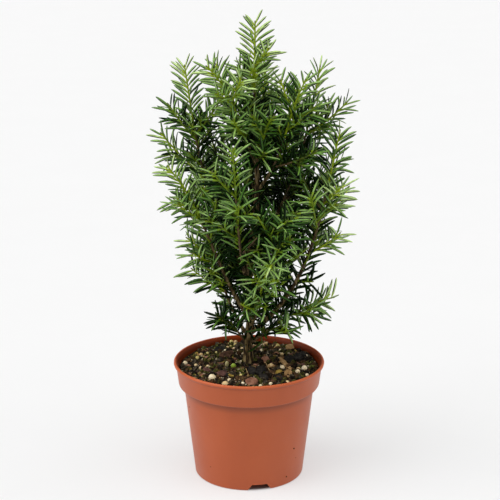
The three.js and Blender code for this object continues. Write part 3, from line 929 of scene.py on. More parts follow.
def needle_points(sites):
    """The points of many needles at once, as needles by rings by section corners, and which of them have the
    last corner of their upper side toward their shoot's root."""
    chance = sites["chance"]
    open_share = np.clip(sites["from_tip"] / NEEDLE["full_from_tip"], 0, 1)
    grown_share = np.clip((GROWN["below"] - sites["root"][:, 2]) / GROWN["over"], 0, 1)
    tip_size = mix(NEEDLE["tip_size"], GROWN["size"], grown_share)
    tip_opening = mix(NEEDLE["tip_opening"], GROWN["opening"], grown_share)
    size = mix(tip_size, 1, open_share) * mix(*NEEDLE["sizes"], chance[:, 0])
    root_size = NEEDLE["root_size"]
    size = size * np.clip(root_size + sites["from_root"] / NEEDLE["root_reach"], root_size, 1)
    opening = mix(tip_opening, NEEDLE["opening"], open_share)
    opening = opening + (chance[:, 1] - 0.5) * 2 * NEEDLE["spread"]
    arch = NEEDLE["arch"] * mix(0.5, 1, open_share) * mix(*NEEDLE["arches"], chance[:, 2])
    sway = (chance[:, 3] - 0.5) * 2 * NEEDLE["sway"]
    twist = (chance[:, 4] - 0.5) * 2 * NEEDLE["twist"]
    ahead = sites["ahead"]
    out = sites["out"]
    across = np.cross(ahead, out)
    flatness = np.abs((np.cross(sites["over"], ahead) * out).sum(1))[:, None]
    length = NEEDLE["length"] * size
    place = sites["root"] + out * NEEDLE["root_out"]
    rings = []
    passed = 0
    for share, width in NEEDLE_RINGS + [(1, 0)]:
        angle = np.radians(opening + arch * (share - 0.5))[:, None]
        way = ahead * np.cos(angle) + out * np.sin(angle) + across * (sway * share)[:, None]
        way = unit(way + UP * NEEDLE["lift"] * share)
        place = place + way * (length * (share - passed))[:, None]
        passed = share
        tipward = ahead * np.sin(angle) - out * np.cos(angle)
        face = sites["over"] * flatness * NEEDLE["flat"] + tipward * (1 - NEEDLE["flat"] * 0.5 * flatness)
        face = face + across * twist[:, None]
        wide = unit(np.cross(way, face))
        face = np.cross(wide, way)
        half = NEEDLE["width"] / 2 * np.sqrt(size) * width
        thick = NEEDLE["thick"] * np.sqrt(size) * mix(NEEDLE["thin_edge"], 1, width)
        corners = [place + wide * (half * aside)[:, None] + face * (thick * up)[:, None]
                   for aside, up in NEEDLE_SECTION]
        rings.append(np.stack(corners, axis=1))
    points = np.stack(rings, axis=1)
    rootward = ((points[:, 3, 3] - points[:, 3, 0]) * ahead).sum(1) < 0
    return points, rootward


def needle_faces(painted_half_shade):
    """The faces of one needle, and the look of each: 0 above, 1 underneath, 2 at its foot and 3 on the
    half of its upper side in painted shade."""
    corners = len(NEEDLE_SECTION)
    rings = len(NEEDLE_RINGS)
    faces = []
    looks = []
    for ring in range(rings - 1):
        for side in range(corners):
            low = ring * corners + side
            next_low = ring * corners + (side + 1) % corners
            faces.append((low, low + corners, next_low + corners, next_low))
            looks.append(2 if ring < 2 else 3 if side == painted_half_shade else int(side >= 3))
    tip = rings * corners
    last = tip - corners
    for side in range(corners):
        faces.append((last + side, tip, last + (side + 1) % corners))
        looks.append(3 if side == painted_half_shade else int(side >= 3))
    faces.append(tuple(range(corners)))
    looks.append(2)
    return faces, looks


def needle_lines(limb):
    """The lines of a limb that carry needles: each with its bare foot, and the painted light it gets more or
    less.
    """
    lines = [(limb["stem"], 0, 0)]
    lines += [(core, SPRAY["bare_shoot"], 0) for core in limb["cores"][1:]]
    lines += [(line, SPRAY["bare_twig"], 0) for line in limb["twigs"]]
    lines += [(line, SPRAY["bare_twig"], INNER["light"]) for line in limb["inner"]]
    # Needles on a bough and on the trunk get painted shade.
    if limb["bough"] is not None:
        outer = points_on(limb["controls"], limb["bare"] * SPRAY["bough_from"], limb["bare"], 8)
        lines.append((outer, 0, LIGHT["old"]))
    if limb["name"] == "leader":
        lines.append((trunk_line[trunk_line[:, 2] > SPRAY["trunk_from"]], 0, LIGHT["old"]))
    return lines


def freshness_and_painted_light(sites, more):
    """How fresh each needle is: the painted light of its place, more toward a tip, and painted light on a
    spray's outer side.
    """
    tip = LIGHT["tip"] * np.clip(1 - sites["from_tip"] / SPRAY["young"], 0, 1)
    own = (sites["chance"][:, 4] - 0.5) * 2 * LIGHT["by_needle"]
    own = own + (sites["out"] * sites["over"]).sum(1) * LIGHT["by_side"]
    return painted_light_at(sites["root"]) + tip + own + more


# Where the photo shows bare wood: the trunk between two heights and two limbs between two shares of their
# length. Most needles in front of it are missing, up to so far to either side of it.
BARE_WOOD = {"trunk": (192, 325), "limbs": {"left_low": (0.1, 0.55), "right_low": (0.1, 0.72)},
             "aside": 4, "missing": 0.8, "in_front": 3}
SIGHT = heading(90, CAMERA["pitch"] - 90)


def bare_lines():
    """The lines of the wood that shows bare."""
    shown = BARE_WOOD["limbs"]
    lines = [points_on(limb["controls"], *shown[limb["name"]], 20) for limb in limbs if limb["name"] in shown]
    return [trunk_between(*BARE_WOOD["trunk"])] + lines


def in_front_of_wood(points):
    """Whether places hide wood that shows bare, seen from the front."""
    hides = np.zeros(len(points), bool)
    across = points - np.outer(points @ SIGHT, SIGHT)
    for line in bare_lines():
        wood = line - np.outer(line @ SIGHT, SIGHT)
        aside, share = nearest(across, wood)
        depth = np.interp(share, np.linspace(0, 1, len(line)), line @ SIGHT)
        hides |= (aside < BARE_WOOD["aside"]) & (points @ SIGHT < depth - BARE_WOOD["in_front"])
    return hides


# Where one needle tint gives way to the next, by how fresh a needle is and how much painted light it gets.
TINT_BORDERS = [0.34, 0.52, 0.7, 1.08]


def needles():
    """The points of all needles, which of them look back toward their shoot's root, and their tints."""
    sites = []
    for number, limb in enumerate(limbs):
        for i, (line, bare_root, more) in enumerate(needle_lines(limb)):
            found = needle_sites(line, bare_root, number * 1000 + i)
            if found:
                spray = np.random.default_rng(number * 1000 + i + 500).uniform(-1, 1) * LIGHT["by_spray"]
                found["light"] = freshness_and_painted_light(found, spray + more + LIMB_PAINTED_LIGHT.get(limb["name"], 0))
                sites.append(found)
    sites = {key: np.concatenate([one[key] for one in sites]) for key in sites[0]}
    points, rootward = needle_points(sites)
    tips = points[:, -1, 0]
    inside = in_crown(tips, 0.2) & in_crown(points[:, 3].mean(1), 0.6)
    from_trunk = np.hypot(tips[:, 0] - TRUNK_LINE[0][0], tips[:, 1] - TRUNK_LINE[0][1])
    inside &= (tips[:, 2] > SPRAY["lowest"]) | (from_trunk < SPRAY["foot_reach"])
    hides = in_front_of_wood(tips)
    for ring in (1, 3, 4):
        hides |= in_front_of_wood(points[:, ring].mean(1))
    inside &= ~hides | (sites["chance"][:, 0] > BARE_WOOD["missing"])
    tint = np.digitize(sites["light"], TINT_BORDERS)
    return points[inside], rootward[inside], tint[inside]


def needle_pile(points, rootward):
    """Needles as one pile, the half toward the shoot's root in painted shade."""
    rings = len(NEEDLE_RINGS)
    count = rings * len(NEEDLE_SECTION) + 1
    body = points[:, :rings].reshape(len(points), -1, 3)
    tips = points[:, rings, :1]
    kinds = [needle_faces(painted_half_shade=0), needle_faces(painted_half_shade=2)]
    pile = Pile()
    pile.points = [np.concatenate([body, tips], axis=1).reshape(-1, 3)]
    for i, kind in enumerate(rootward.astype(int)):
        faces, looks = kinds[kind]
        pile.faces += [tuple(corner + i * count for corner in face) for face in faces]
        pile.looks += looks
    pile.count = len(points) * count
    return pile


# ---- Pot ----


def rounded(corners, steps=4):
    """A profile from corners of (radius, height, rounding), each corner drawn as a short curve."""
    places = [np.array(corner[:2], float) for corner in corners]
    profile = []
    for i, (place, (_, _, rounding)) in enumerate(zip(places, corners)):
        if rounding == 0:
            profile.append(place)
            continue
        before = places[i - 1] - place
        after = places[i + 1] - place
        reach = min(rounding, np.linalg.norm(before) * 0.45, np.linalg.norm(after) * 0.45)
        first = place + unit(before) * reach
        last = place + unit(after) * reach
        profile.extend(bezier((first, place, last), step / steps) for step in range(steps + 1))
    return profile


def pot_profile():
    """The pot's outline, from the middle of its underside up the outside and down the inside."""
    collar_foot = POT["height"] - POT["collar_height"]
    ring = POT["base_radius"] - POT["foot_ring"]
    inside = POT["collar_foot_radius"] - POT["wall"]
    body_inside = POT["body_top_radius"] - POT["wall"]
    floor_inside = mix(POT["base_radius"], POT["body_top_radius"], POT["floor"] / collar_foot) - POT["wall"]
    return rounded([
        (0.01, 0, 0),
        (POT["pad_radius"], 0, 0.8),
        (POT["pad_radius"] + 1.5, POT["foot_height"], 0.8),
        (ring - 1, POT["foot_height"], 0.8),
        (ring, 0, 0.6),
        (POT["base_radius"] - 0.8, 0, 0.5),
        (POT["base_radius"], 1, 0.8),
        (POT["body_top_radius"] - 0.25, collar_foot - 2.5, 1.5),
        (POT["body_top_radius"] + 0.6, collar_foot, 0.9),
        (POT["collar_foot_radius"] - 0.6, collar_foot, 0.5),
        (POT["collar_foot_radius"], collar_foot + 1.2, 1.2),
        (POT["collar_top_radius"], POT["height"] - 4, 1.2),
        (POT["lip_radius"] - 0.3, POT["height"] - 3.2, 0.9),
        (POT["lip_radius"], POT["height"] - 1.5, 1.2),
        (POT["lip_radius"] - 1, POT["height"], 1),
        (POT["lip_radius"] - 2.8, POT["height"] - 0.5, 0.8),
        (POT["collar_top_radius"] - POT["wall"], POT["height"] - 4, 1.5),
        (inside, collar_foot + POT["wall"], 1.5),
        (body_inside, collar_foot + POT["wall"], 0.8),
        (floor_inside, POT["floor"], 1.5),
        (0.01, POT["floor"], 0),
    ])


def turned(profile, facets, inner_from):
    """A closed round mesh from its profile, as a pile. Its second look starts at a step of the profile."""
    pile = Pile()
    angles = angles_round(facets)
    points = [(radius * math.cos(angle), radius * math.sin(angle), height)
              for radius, height in profile for angle in angles]
    faces = closed_faces(len(profile), facets)
    looks = [int(i >= inner_from * facets) for i in range(len(faces) - 2)] + [0, 1]
    pile.add(points, faces, looks)
    return pile


def notch_cutter(angle):
    """A bar with sloped sides that cuts one drain notch through the foot ring."""
    foot = NOTCH["foot_width"] / 2
    top = NOTCH["top_width"] / 2
    inner = POT["base_radius"] + 2 - NOTCH["depth"]
    outer = POT["base_radius"] + 2
    outline = [(-foot, -1), (foot, -1), (top, NOTCH["height"]), (-top, NOTCH["height"])]
    cosine = math.cos(math.radians(angle))
    sine = math.sin(math.radians(angle))
    points = [(away * cosine - aside * sine, away * sine + aside * cosine, height)
              for away in (inner, outer) for aside, height in outline]
    faces = [(3, 2, 1, 0), (4, 5, 6, 7), (0, 1, 5, 4), (1, 2, 6, 5), (2, 3, 7, 6), (3, 0, 4, 7)]
    mesh = bpy.data.meshes.new("notch")
    mesh.from_pydata((np.array(points) * MM).tolist(), [], faces)
    cutter = bpy.data.objects.new("notch", mesh)
    bpy.context.scene.collection.objects.link(cutter)
    return cutter


def cut(thing, cutter):
    """Takes the cutter's shape out of a piece."""
    modifier = thing.modifiers.new("cut", "BOOLEAN")
    modifier.object = cutter
    modifier.solver = "EXACT"
    bpy.context.view_layer.objects.active = thing
    bpy.ops.object.modifier_apply(modifier=modifier.name)
    bpy.data.objects.remove(cutter)


def sharpened(thing, angle):
    """Keeps the edges that are sharper than an angle crisp in a smooth piece."""
    shape = bmesh.new()
    shape.from_mesh(thing.data)
    for edge in shape.edges:
        edge.smooth = edge.calc_face_angle(0) < math.radians(angle)
    shape.to_mesh(thing.data)
    shape.free()


def pot_shell():
    """The pot, with its drain notches. Its inside is darker, in painted shade."""
    outside = plastic("terracotta_plastic", [(191, 85, 31), (199, 91, 36), (205, 98, 45)], 0.5)
    # The inside: the same plastic made darker, painted shade.
    inside = plastic("terracotta_inside_painted_shade", [(142, 54, 14), (152, 60, 18), (160, 68, 24)], 0.15)
    profile = pot_profile()
    rim = max(range(len(profile)), key=lambda i: profile[i][1])
    shape = turned(profile, POT["facets"], rim + 2)
    pot = piece("pot_shell", shape, [outside, inside], ("pot",))
    for i in range(NOTCH["count"]):
        cut(pot, notch_cutter(NOTCH["first_angle"] + i * 360 / NOTCH["count"]))
    sharpened(pot, angle=32)
    return pot


# Crumbs of the mix that cling to the pot's wall: compass angle, height and size.
POT_SPECKS = [(-41, 38, 0.8), (-48, 9, 0.7), (-132, 20, 0.4), (35, 60, 0.6), (120, 30, 0.7), (200, 75, 0.5),
              (-36, 26, 0.4)]


def pot_specks():
    """Small flat crumbs stuck to the wall."""
    shape, faces = ball_shape(2)
    pile = Pile()
    for angle, height, size in POT_SPECKS:
        wall = mix(POT["base_radius"], POT["body_top_radius"],
                   height / (POT["height"] - POT["collar_height"]))
        centre = heading(angle, 0) * wall + UP * height
        pile.add(centre + shape * size, faces)
    return pile


# ---- Potting mix ----


# The mix's shape: where its slope changes, how much higher it stands at the back and between which depths
# that rises, and its coarse and fine unevenness: width, height and how far from the wall it fades.
SLOPE_CHANGE = {"radius": 42, "height": 109.4}
SOIL_AT_BACK = {"more": 4.2, "from": -28, "to": 40}
UNEVEN = {"coarse": (11, 1.7), "fine": (3.6, 0.9), "fade": 6, "at_wall": 0.35, "lower": 0.6}


def ground_height(x, y):
    """The mix's height at a place: its heap, with coarse and fine unevenness."""
    away = math.hypot(x, y)
    even = np.interp(away, [SOIL["heap_radius"], SLOPE_CHANGE["radius"], SOIL["radius"]],
                     [SOIL["heap_height"], SLOPE_CHANGE["height"], SOIL["edge_height"]])
    even += np.interp(y, [SOIL_AT_BACK["from"], SOIL_AT_BACK["to"]], [0, SOIL_AT_BACK["more"]])
    waves = 0
    for (width, height), level in ((UNEVEN["coarse"], 3), (UNEVEN["fine"], 9)):
        waves += noise.noise(Vector((x / width, y / width, level))) * height
    fade = min(1, max(0, (SOIL["radius"] - away) / UNEVEN["fade"]))
    return even + waves * mix(UNEVEN["at_wall"], 1, fade) - UNEVEN["lower"]


def on_mix(x, y, lift):
    """A place so far above the mix's top."""
    return np.array([x, y, ground_height(x, y) + lift])


# The plug under the mix's top, from its edge down into the pot: radius and height.
SOIL_PLUG = [(67.6, 97), (62, 95), (50.5, 9)]


def soil_bed():
    """The mix itself: an uneven top on a plug that fills the pot."""
    rings = 72
    around = 150
    pile = Pile()
    angles = angles_round(around)
    points = []
    for ring in range(rings):
        away = SOIL["radius"] * (ring + 0.4) / (rings - 0.6)
        for angle in angles:
            x = away * math.cos(angle)
            y = away * math.sin(angle)
            points.append((x, y, ground_height(x, y)))
    for away, height in SOIL_PLUG:
        points.extend((away * math.cos(angle), away * math.sin(angle), height) for angle in angles)
    total = rings + len(SOIL_PLUG)
    pile.add(points, [tuple(reversed(face)) for face in closed_faces(total, around)])
    return pile


def scattered(random, count, clear, margin):
    """Random places on the mix, clear of the trunk and of the pot's wall."""
    trunk_x, trunk_y, _ = TRUNK_LINE[0]
    places = []
    while len(places) < count:
        x, y = random.uniform(-SOIL["radius"], SOIL["radius"], 2)
        away = math.hypot(x, y)
        if away < SOIL["radius"] - margin and math.hypot(x - trunk_x, y - trunk_y) > clear:
            places.append((x, y))
    return places


# Crumbs: how many, every how many a coarse one, their radii, how each is stretched, lumpy and raised, and
# the share of the fine ones that is grit.
CRUMBS = {"count": 2300, "coarse_each": 7, "coarse": (1.6, 3.4), "fine": (0.5, 1.7), "stretch": (0.6, 1.2),
          "lumps": 0.22, "lift": (-0.1, 0.45), "grit_share": 0.13}


def crumbs():
    """Loose crumbs of peat and bark in four dark tints, and pale grit among the fine ones."""
    random = np.random.default_rng(11)
    fine_shape = ball_shape(1)
    coarse_shape = ball_shape(2)
    pile = Pile()
    for i, (x, y) in enumerate(scattered(random, CRUMBS["count"], clear=6, margin=0.8)):
        coarse = i % CRUMBS["coarse_each"] == 0
        shape, faces = coarse_shape if coarse else fine_shape
        size = random.uniform(*CRUMBS["coarse" if coarse else "fine"])
        scale = size * random.uniform(*CRUMBS["stretch"], 3)
        body = shape * (1 + random.uniform(-CRUMBS["lumps"], CRUMBS["lumps"], (len(shape), 1))) * scale
        body = body @ turn_matrix(random).T
        centre = on_mix(x, y, size * random.uniform(*CRUMBS["lift"]))
        away = math.hypot(x, y)
        centre[:2] *= min(1, (SOIL["radius"] - size * 1.2) / max(away, 1))
        pale = not coarse and random.uniform() < CRUMBS["grit_share"]
        pile.add(centre + body, faces, 4 if pale else int(random.integers(0, 4)))
    return pile


# Fertiliser beads that show from the front: x, y, radius and tint; the rest are scattered.
BEADS_IN_FRONT = [
    (-64, 7, 2.5, 0), (-52, 17, 2.1, 2), (-53, 0, 2.1, 1), (-48, -7, 1.9, 1), (-41, -4, 1.5, 1),
    (-37, 1, 1.7, 0), (-42, 31, 1.7, 2), (-36, -32, 3.7, 0), (-23, -47, 3.1, 1), (-19, -37, 2.3, 0),
    (-17, -50, 1.7, 0), (-14, 51, 2.3, 2), (-19, 51, 1.4, 2), (-24, 34, 1.7, 0), (-11, 34, 1.2, 0),
    (-6, -47, 1.6, 0), (-8, -29, 1.7, 2), (25, 12, 1.3, 0), (33, -9, 2.5, 0), (22, -7, 2.3, 1),
    (48, -16, 2.5, 0), (55, -8, 3.1, 0), (49, -7, 1.9, 1), (57, -23, 1.9, 0), (21, -46, 2.1, 0),
    (31, -32, 1.4, 2), (37, -45, 2.5, 1), (11, -52, 1.9, 0), (32, 37, 1.9, 0), (58, 24, 1.5, 0),
    (-8, 4, 1.4, 0), (-33, 27, 1.9, 2),
]
# The scattered ones: how many places are tried, how many at most are taken and from how far back, and their
# radii. Then how every bead is stretched, lumpy and raised.
BEADS = {"tried": 60, "scattered": 26, "behind": 20, "radius": (1.2, 2.4), "stretch": (0.86, 1.06),
         "lumps": 0.05, "lift": (0.35, 0.8)}


def beads():
    """Round fertiliser beads in three pale tints."""
    random = np.random.default_rng(5)
    shape, faces = ball_shape(3)
    pile = Pile()
    places = scattered(random, BEADS["tried"], clear=10, margin=4)
    places = [place for place in places if place[1] > BEADS["behind"]]
    rest = [(x, y, random.uniform(*BEADS["radius"]), int(random.integers(0, 3)))
            for x, y in places[:BEADS["scattered"]]]
    for x, y, radius, tint in BEADS_IN_FRONT + rest:
        scale = radius * random.uniform(*BEADS["stretch"], 3)
        lumps = np.array([1 + BEADS["lumps"] * noise.noise(Vector(point * 1.8 + x)) for point in shape])
        centre = on_mix(x, y, radius * random.uniform(*BEADS["lift"]))
        pile.add(centre + shape * lumps[:, None] * scale, faces, tint)
    return pile


# The one fresh green bead: x, y and radius. An empty pale husk stands beside it.
GREEN_BEAD = (-15.3, -8.9, 2.6)
HUSK = {"x": -21.9, "y": -6.1, "radius": 1.9, "stretch": 1.7}


def green_bead():
    """The green bead and the husk beside it."""
    shape, faces = ball_shape(3)
    x, y, radius = GREEN_BEAD
    pile = Pile()
    pile.add(on_mix(x, y, radius * 0.7) + shape * radius, faces)
    x, y, radius = HUSK["x"], HUSK["y"], HUSK["radius"]
    body = shape * radius * np.array([1, 1, HUSK["stretch"]])
    pile.add(on_mix(x, y, radius * 1.3) + body, faces, 1)
    return pile


# A chip's outline: how many corners, how unevenly they stand and how far out. Then how rough its surface is,
# and the height and width of its levels, all as shares of its own.
SLAB = {"corners": (7, 10), "uneven": 0.25, "reach": (0.75, 1.15), "rough": 0.12,
        "levels": [(-0.5, 0.86), (-0.2, 1), (0.25, 1), (0.5, 0.84)]}


def slab(pile, random, centre, size, pose, look):
    """Adds a chip: a flat piece with an irregular rounded outline.

    size is its length, width and thickness. pose is the compass angle of its length and how far it leans
    to the right and to the front, as slopes.
    """
    length, width, thick = size
    turn, lean_right, lean_front = pose
    corners = int(random.integers(*SLAB["corners"]))
    angles = jittered(random, angles_round(corners), SLAB["uneven"])
    reach = random.uniform(*SLAB["reach"], corners)
    outline = np.stack([np.cos(angles) * reach * length / 2, np.sin(angles) * reach * width / 2], axis=1)
    rings = [np.column_stack([outline * share, np.full(corners, thick * up)])
             for up, share in SLAB["levels"]]
    body = np.concatenate(rings)
    body = body + random.uniform(-SLAB["rough"], SLAB["rough"], body.shape) * thick
    face = unit(np.array([lean_right, -lean_front, 1.0]))
    ahead = heading(turn, 0)
    first = unit(ahead - face * np.dot(ahead, face))
    axes = np.stack([first, np.cross(face, first), face])
    pile.add(centre + body @ axes, closed_faces(len(rings), corners), look)


# Bark chips that show from the front: x, y, how high they stand, length, width, thickness, the compass
# angle of their length, how far they lean to the front, and their tint.
CHIPS_IN_FRONT = [
    (2, -44, 2.6, 14, 11, 2.6, 5, 1.0, 0),
    (29, -20, 1.6, 12, 5, 2.2, 55, 0.2, 4),
    (38, -25, 2, 10, 9, 4, 30, 0.9, 1),
    (36, -1, 1.6, 30, 5, 2.6, -66, 0.1, 1),
    (16, 4, 3.2, 9, 9, 2.4, 20, 1.6, 0),
    (42, 43, 3, 9, 8, 1.2, 30, 1.1, 1),
    (-26, -25, 2, 10, 9, 3, 10, 0.7, 5),
    (3, -21, 1.6, 10, 16, 4, 8, 0.15, 3),
    (12, -20, 1.8, 11, 18, 4, -20, 0.2, 3),
    (14, -35, 1.6, 11, 10, 3, 0, 0.5, 3),
    (40, 11, 2, 12, 12, 5, 20, 0.5, 3),
    (49, 13, 2, 9, 12, 5, 60, 0.5, 3),
    (54, 25, 2, 10, 9, 4, 80, 0.5, 3),
    (29, -32, 1.6, 9, 8, 3, 170, 0.6, 3),
    (-22, 20, 2, 16, 9, 2.4, 25, 0.7, 2),
    (-30, 36, 2, 12, 7, 2.4, 15, 0.6, 3),
    (22, -7, 1, 8, 5, 2, 10, 0.4, 1),
    (-41, -14, 1.4, 9, 6, 2, 160, 0.5, 5),
]


# The other chips: how many places are tried, how far they keep off the beads, their length, their width as
# a share of it, their thickness, how high they stand and how much they lean.
CHIPS = {"tried": 210, "off_beads": 4, "length": (2.5, 8), "slim": (0.45, 0.8), "thick": (0.8, 1.8),
         "lift": (0.2, 1), "lean": 0.3}


def chips():
    """Bark chips: red-brown, tan, dark brown, near black, ochre and purple-brown."""
    random = np.random.default_rng(23)
    pile = Pile()
    for x, y, lift, length, width, thick, turn, lean, tint in CHIPS_IN_FRONT:
        centre = on_mix(x, y, lift)
        slab(pile, random, centre, (length, width, thick), (turn, 0.1, lean), tint)
    for x, y in scattered(random, CHIPS["tried"], clear=9, margin=6):
        off = min(math.hypot(x - bead_x, y - bead_y) - radius for bead_x, bead_y, radius, _ in BEADS_IN_FRONT)
        if off < CHIPS["off_beads"]:
            continue
        length = random.uniform(*CHIPS["length"])
        centre = on_mix(x, y, random.uniform(*CHIPS["lift"]))
        size = (length, length * random.uniform(*CHIPS["slim"]), random.uniform(*CHIPS["thick"]))
        pose = (random.uniform(0, 360), random.normal(0, CHIPS["lean"]), random.normal(0, CHIPS["lean"]))
        slab(pile, random, centre, size, pose, int(random.integers(0, 6)))
    return pile


# Straws that show from the front: x and y of both ends, and radius.
STRAWS_IN_FRONT = [(14.6, 7.9, 21.1, -22.6, 0.5), (10.5, -2, 14.6, 7.9, 0.45), (-3, -15, -1, -28, 0.4),
                   (-46, 18, -44, 26, 0.7)]
# The other straws: how many, every how many a tan one, their reach and their radius. Then how far every
# straw bends aside, its steps, how high it lies and how uneven it is.
STRAWS = {"count": 150, "tan_each": 3, "reach": (3, 10), "radius": (0.18, 0.42), "bend": 1.5, "steps": 8,
          "lift": 0.7, "uneven": (0.8, 1.1)}


def straw(pile, random, start, end, radius, look):
    """Adds a straw that lies on the mix from one place to another, slightly bent."""
    start = np.array(start, float)
    end = np.array(end, float)
    bend = mix(start, end, 0.5) + random.uniform(-STRAWS["bend"], STRAWS["bend"], 2)
    route = points_on((start, bend, end), 0, 1, STRAWS["steps"])
    line = np.array([(x, y, ground_height(x, y) + radius + STRAWS["lift"]) for x, y in route])
    line[:, 2] = np.convolve(np.pad(line[:, 2], 2, mode="edge"), np.ones(5) / 5, mode="valid")
    tube(pile, line, radius * random.uniform(*STRAWS["uneven"], len(line)), 6, look)


def straws():
    """Tan straws and dark fibres."""
    random = np.random.default_rng(31)
    pile = Pile()
    for x0, y0, x1, y1, radius in STRAWS_IN_FRONT:
        straw(pile, random, (x0, y0), (x1, y1), radius, 0)
    for i, (x, y) in enumerate(scattered(random, STRAWS["count"], clear=12, margin=12)):
        turn = random.uniform(0, 2 * math.pi)
        reach = random.uniform(*STRAWS["reach"])
        end = (x + math.cos(turn) * reach, y + math.sin(turn) * reach)
        dark = int(i % STRAWS["tan_each"] > 0)
        straw(pile, random, (x, y), end, random.uniform(*STRAWS["radius"]), dark)
    return pile


# Where moss grows: x, y, how far it spreads and how many tufts.
MOSS = [(-28, 54, 12, 24), (32, 50, 10, 8), (6, 8, 5, 16), (-9, 3, 5, 8), (-31, 20, 14, 26),
        (-36, 46, 10, 16), (-15, 50, 9, 16), (-7, -20, 6, 12), (60, 4, 7, 16), (49, -22, 6, 10),
        (-38, -8, 9, 8), (49, 22, 9, 8), (20, 42, 14, 12), (-52, -22, 6, 5)]
# The leaves of a tuft: how many, their slopes, their length and their half width as a share of it.
MOSS_LEAF = {"count": 16, "slopes": (15, 80), "length": (1.4, 3.4), "slim": 0.16}


def moss():
    """Tufts of moss: short pointed leaves that stand up from a point, in two greens."""
    random = np.random.default_rng(47)
    pile = Pile()
    for x, y, spread, tufts in MOSS:
        for _ in range(tufts):
            foot = np.array([x, y]) + random.normal(0, spread / 2, 2)
            if np.hypot(*foot) > SOIL["radius"] - 4:
                continue
            root = on_mix(*foot, -0.2)
            for _ in range(MOSS_LEAF["count"]):
                way = heading(random.uniform(0, 360), random.uniform(*MOSS_LEAF["slopes"]))
                size = random.uniform(*MOSS_LEAF["length"])
                side = level_across(way) * size * MOSS_LEAF["slim"]
                middle = root + way * size * 0.5
                points = [root, middle - side, middle + side, root + way * size + UP * 0.2,
                          middle + np.cross(way, side) * 0.5]
                faces = [(0, 1, 4), (0, 4, 2), (1, 3, 4), (4, 3, 2), (0, 2, 3, 1)]
                pile.add(points, faces, int(random.integers(0, 2)))
    return pile


# ---- The object ----


def dress_pot():
    """The pot and what clings to it."""
    pot_shell()
    speck = plain_grain("speck", (30, 22, 16), (52, 38, 26), (74, 58, 40), 500, 0.9, 0.2)
    piece("pot_specks", pot_specks(), [speck])


# The mix's materials: name, dark, middle and light tint, how fine their grain is, roughness and relief.
SOIL_LOOKS = [
    ("mix_bed", (10, 6, 3), (32, 23, 12), (62, 48, 30), 420, 0.95, 0.9),
    ("peat_dark", (10, 6, 3), (26, 18, 10), (50, 38, 24), 600, 0.95, 0.4),
    ("peat_brown", (40, 26, 12), (74, 52, 32), (106, 80, 52), 600, 0.95, 0.4),
    ("peat_grey", (34, 30, 24), (66, 58, 46), (104, 94, 76), 600, 0.9, 0.4),
    ("peat_olive", (34, 32, 8), (66, 64, 24), (100, 96, 44), 600, 0.9, 0.4),
    ("grit_pale", (150, 136, 108), (182, 168, 138), (208, 196, 170), 600, 0.8, 0.2),
    ("bead_cream", (232, 208, 164), (246, 226, 186), (255, 242, 212), 260, 0.5, 0.1),
    ("bead_tan", (210, 172, 116), (228, 196, 142), (242, 216, 168), 260, 0.5, 0.1),
    ("bead_yellow", (198, 174, 96), (218, 198, 122), (234, 218, 152), 260, 0.5, 0.1),
    ("bead_green", (122, 150, 42), (146, 172, 60), (168, 190, 84), 200, 0.45, 0.05),
    ("husk", (150, 138, 88), (178, 166, 116), (200, 190, 146), 260, 0.6, 0.1),
    ("chip_rust", (104, 66, 50), (142, 98, 76), (166, 122, 98), 240, 0.8, 0.4),
    ("chip_tan", (128, 96, 58), (164, 128, 84), (188, 154, 108), 240, 0.8, 0.4),
    ("chip_umber", (52, 34, 24), (82, 56, 42), (108, 78, 58), 240, 0.85, 0.4),
    ("chip_coal", (18, 16, 15), (36, 33, 30), (60, 56, 50), 300, 0.85, 0.6),
    ("chip_ochre", (118, 92, 34), (152, 124, 52), (178, 152, 80), 240, 0.8, 0.4),
    ("chip_plum", (58, 38, 34), (96, 66, 58), (124, 92, 82), 240, 0.85, 0.4),
    ("straw_tan", (150, 118, 72), (184, 152, 102), (206, 178, 130), 300, 0.7, 0.2),
    ("straw_brown", (62, 42, 26), (92, 64, 42), (122, 92, 64), 300, 0.8, 0.2),
    ("moss_dark", (56, 60, 18), (84, 88, 32), (110, 112, 48), 500, 0.7, 0.1),
    ("moss_light", (98, 100, 42), (130, 132, 62), (158, 158, 88), 500, 0.7, 0.1),
]
# What lies on the mix: the piece, what makes it, its materials, and whether it is smooth.
SOIL_LITTER = [
    ("soil_crumbs", crumbs, ["peat_dark", "peat_brown", "peat_grey", "peat_olive", "grit_pale"], False),
    ("soil_beads", beads, ["bead_cream", "bead_tan", "bead_yellow"], True),
    ("soil_green_bead", green_bead, ["bead_green", "husk"], True),
    ("soil_chips", chips,
     ["chip_rust", "chip_tan", "chip_umber", "chip_coal", "chip_ochre", "chip_plum"], False),
    ("soil_straws", straws, ["straw_tan", "straw_brown"], True),
    ("soil_moss", moss, ["moss_dark", "moss_light"], False),
]


def dress_soil():
    """The mix and what lies on it."""
    looks = {row[0]: plain_grain(*row) for row in SOIL_LOOKS}
    piece("soil_bed", soil_bed(), [looks["mix_bed"]], ("soil",))
    for name, made, names, smooth in SOIL_LITTER:
        piece(name, made(), [looks[one] for one in names], smooth=smooth)


def dress_wood():
    """Trunk, boughs, shoots, twigs and buds."""
    bark = bark_look()
    boughs = ["bough_" + limb["name"] for limb in limbs if limb["bough"] is not None]
    piece("trunk_bark", trunk_bark(), [bark], ("trunk",))
    piece("bough_bark", bough_bark(), [bark], boughs)
    brown, green = axes()
    masses = ["foliage_" + limb["name"] for limb in limbs]
    piece("twigs_brown", brown, [twig_look()])
    piece("twigs_green", green, [green_look(*row) for row in GREEN_WOOD], masses)
    piece("buds", buds(), [bud_look()])
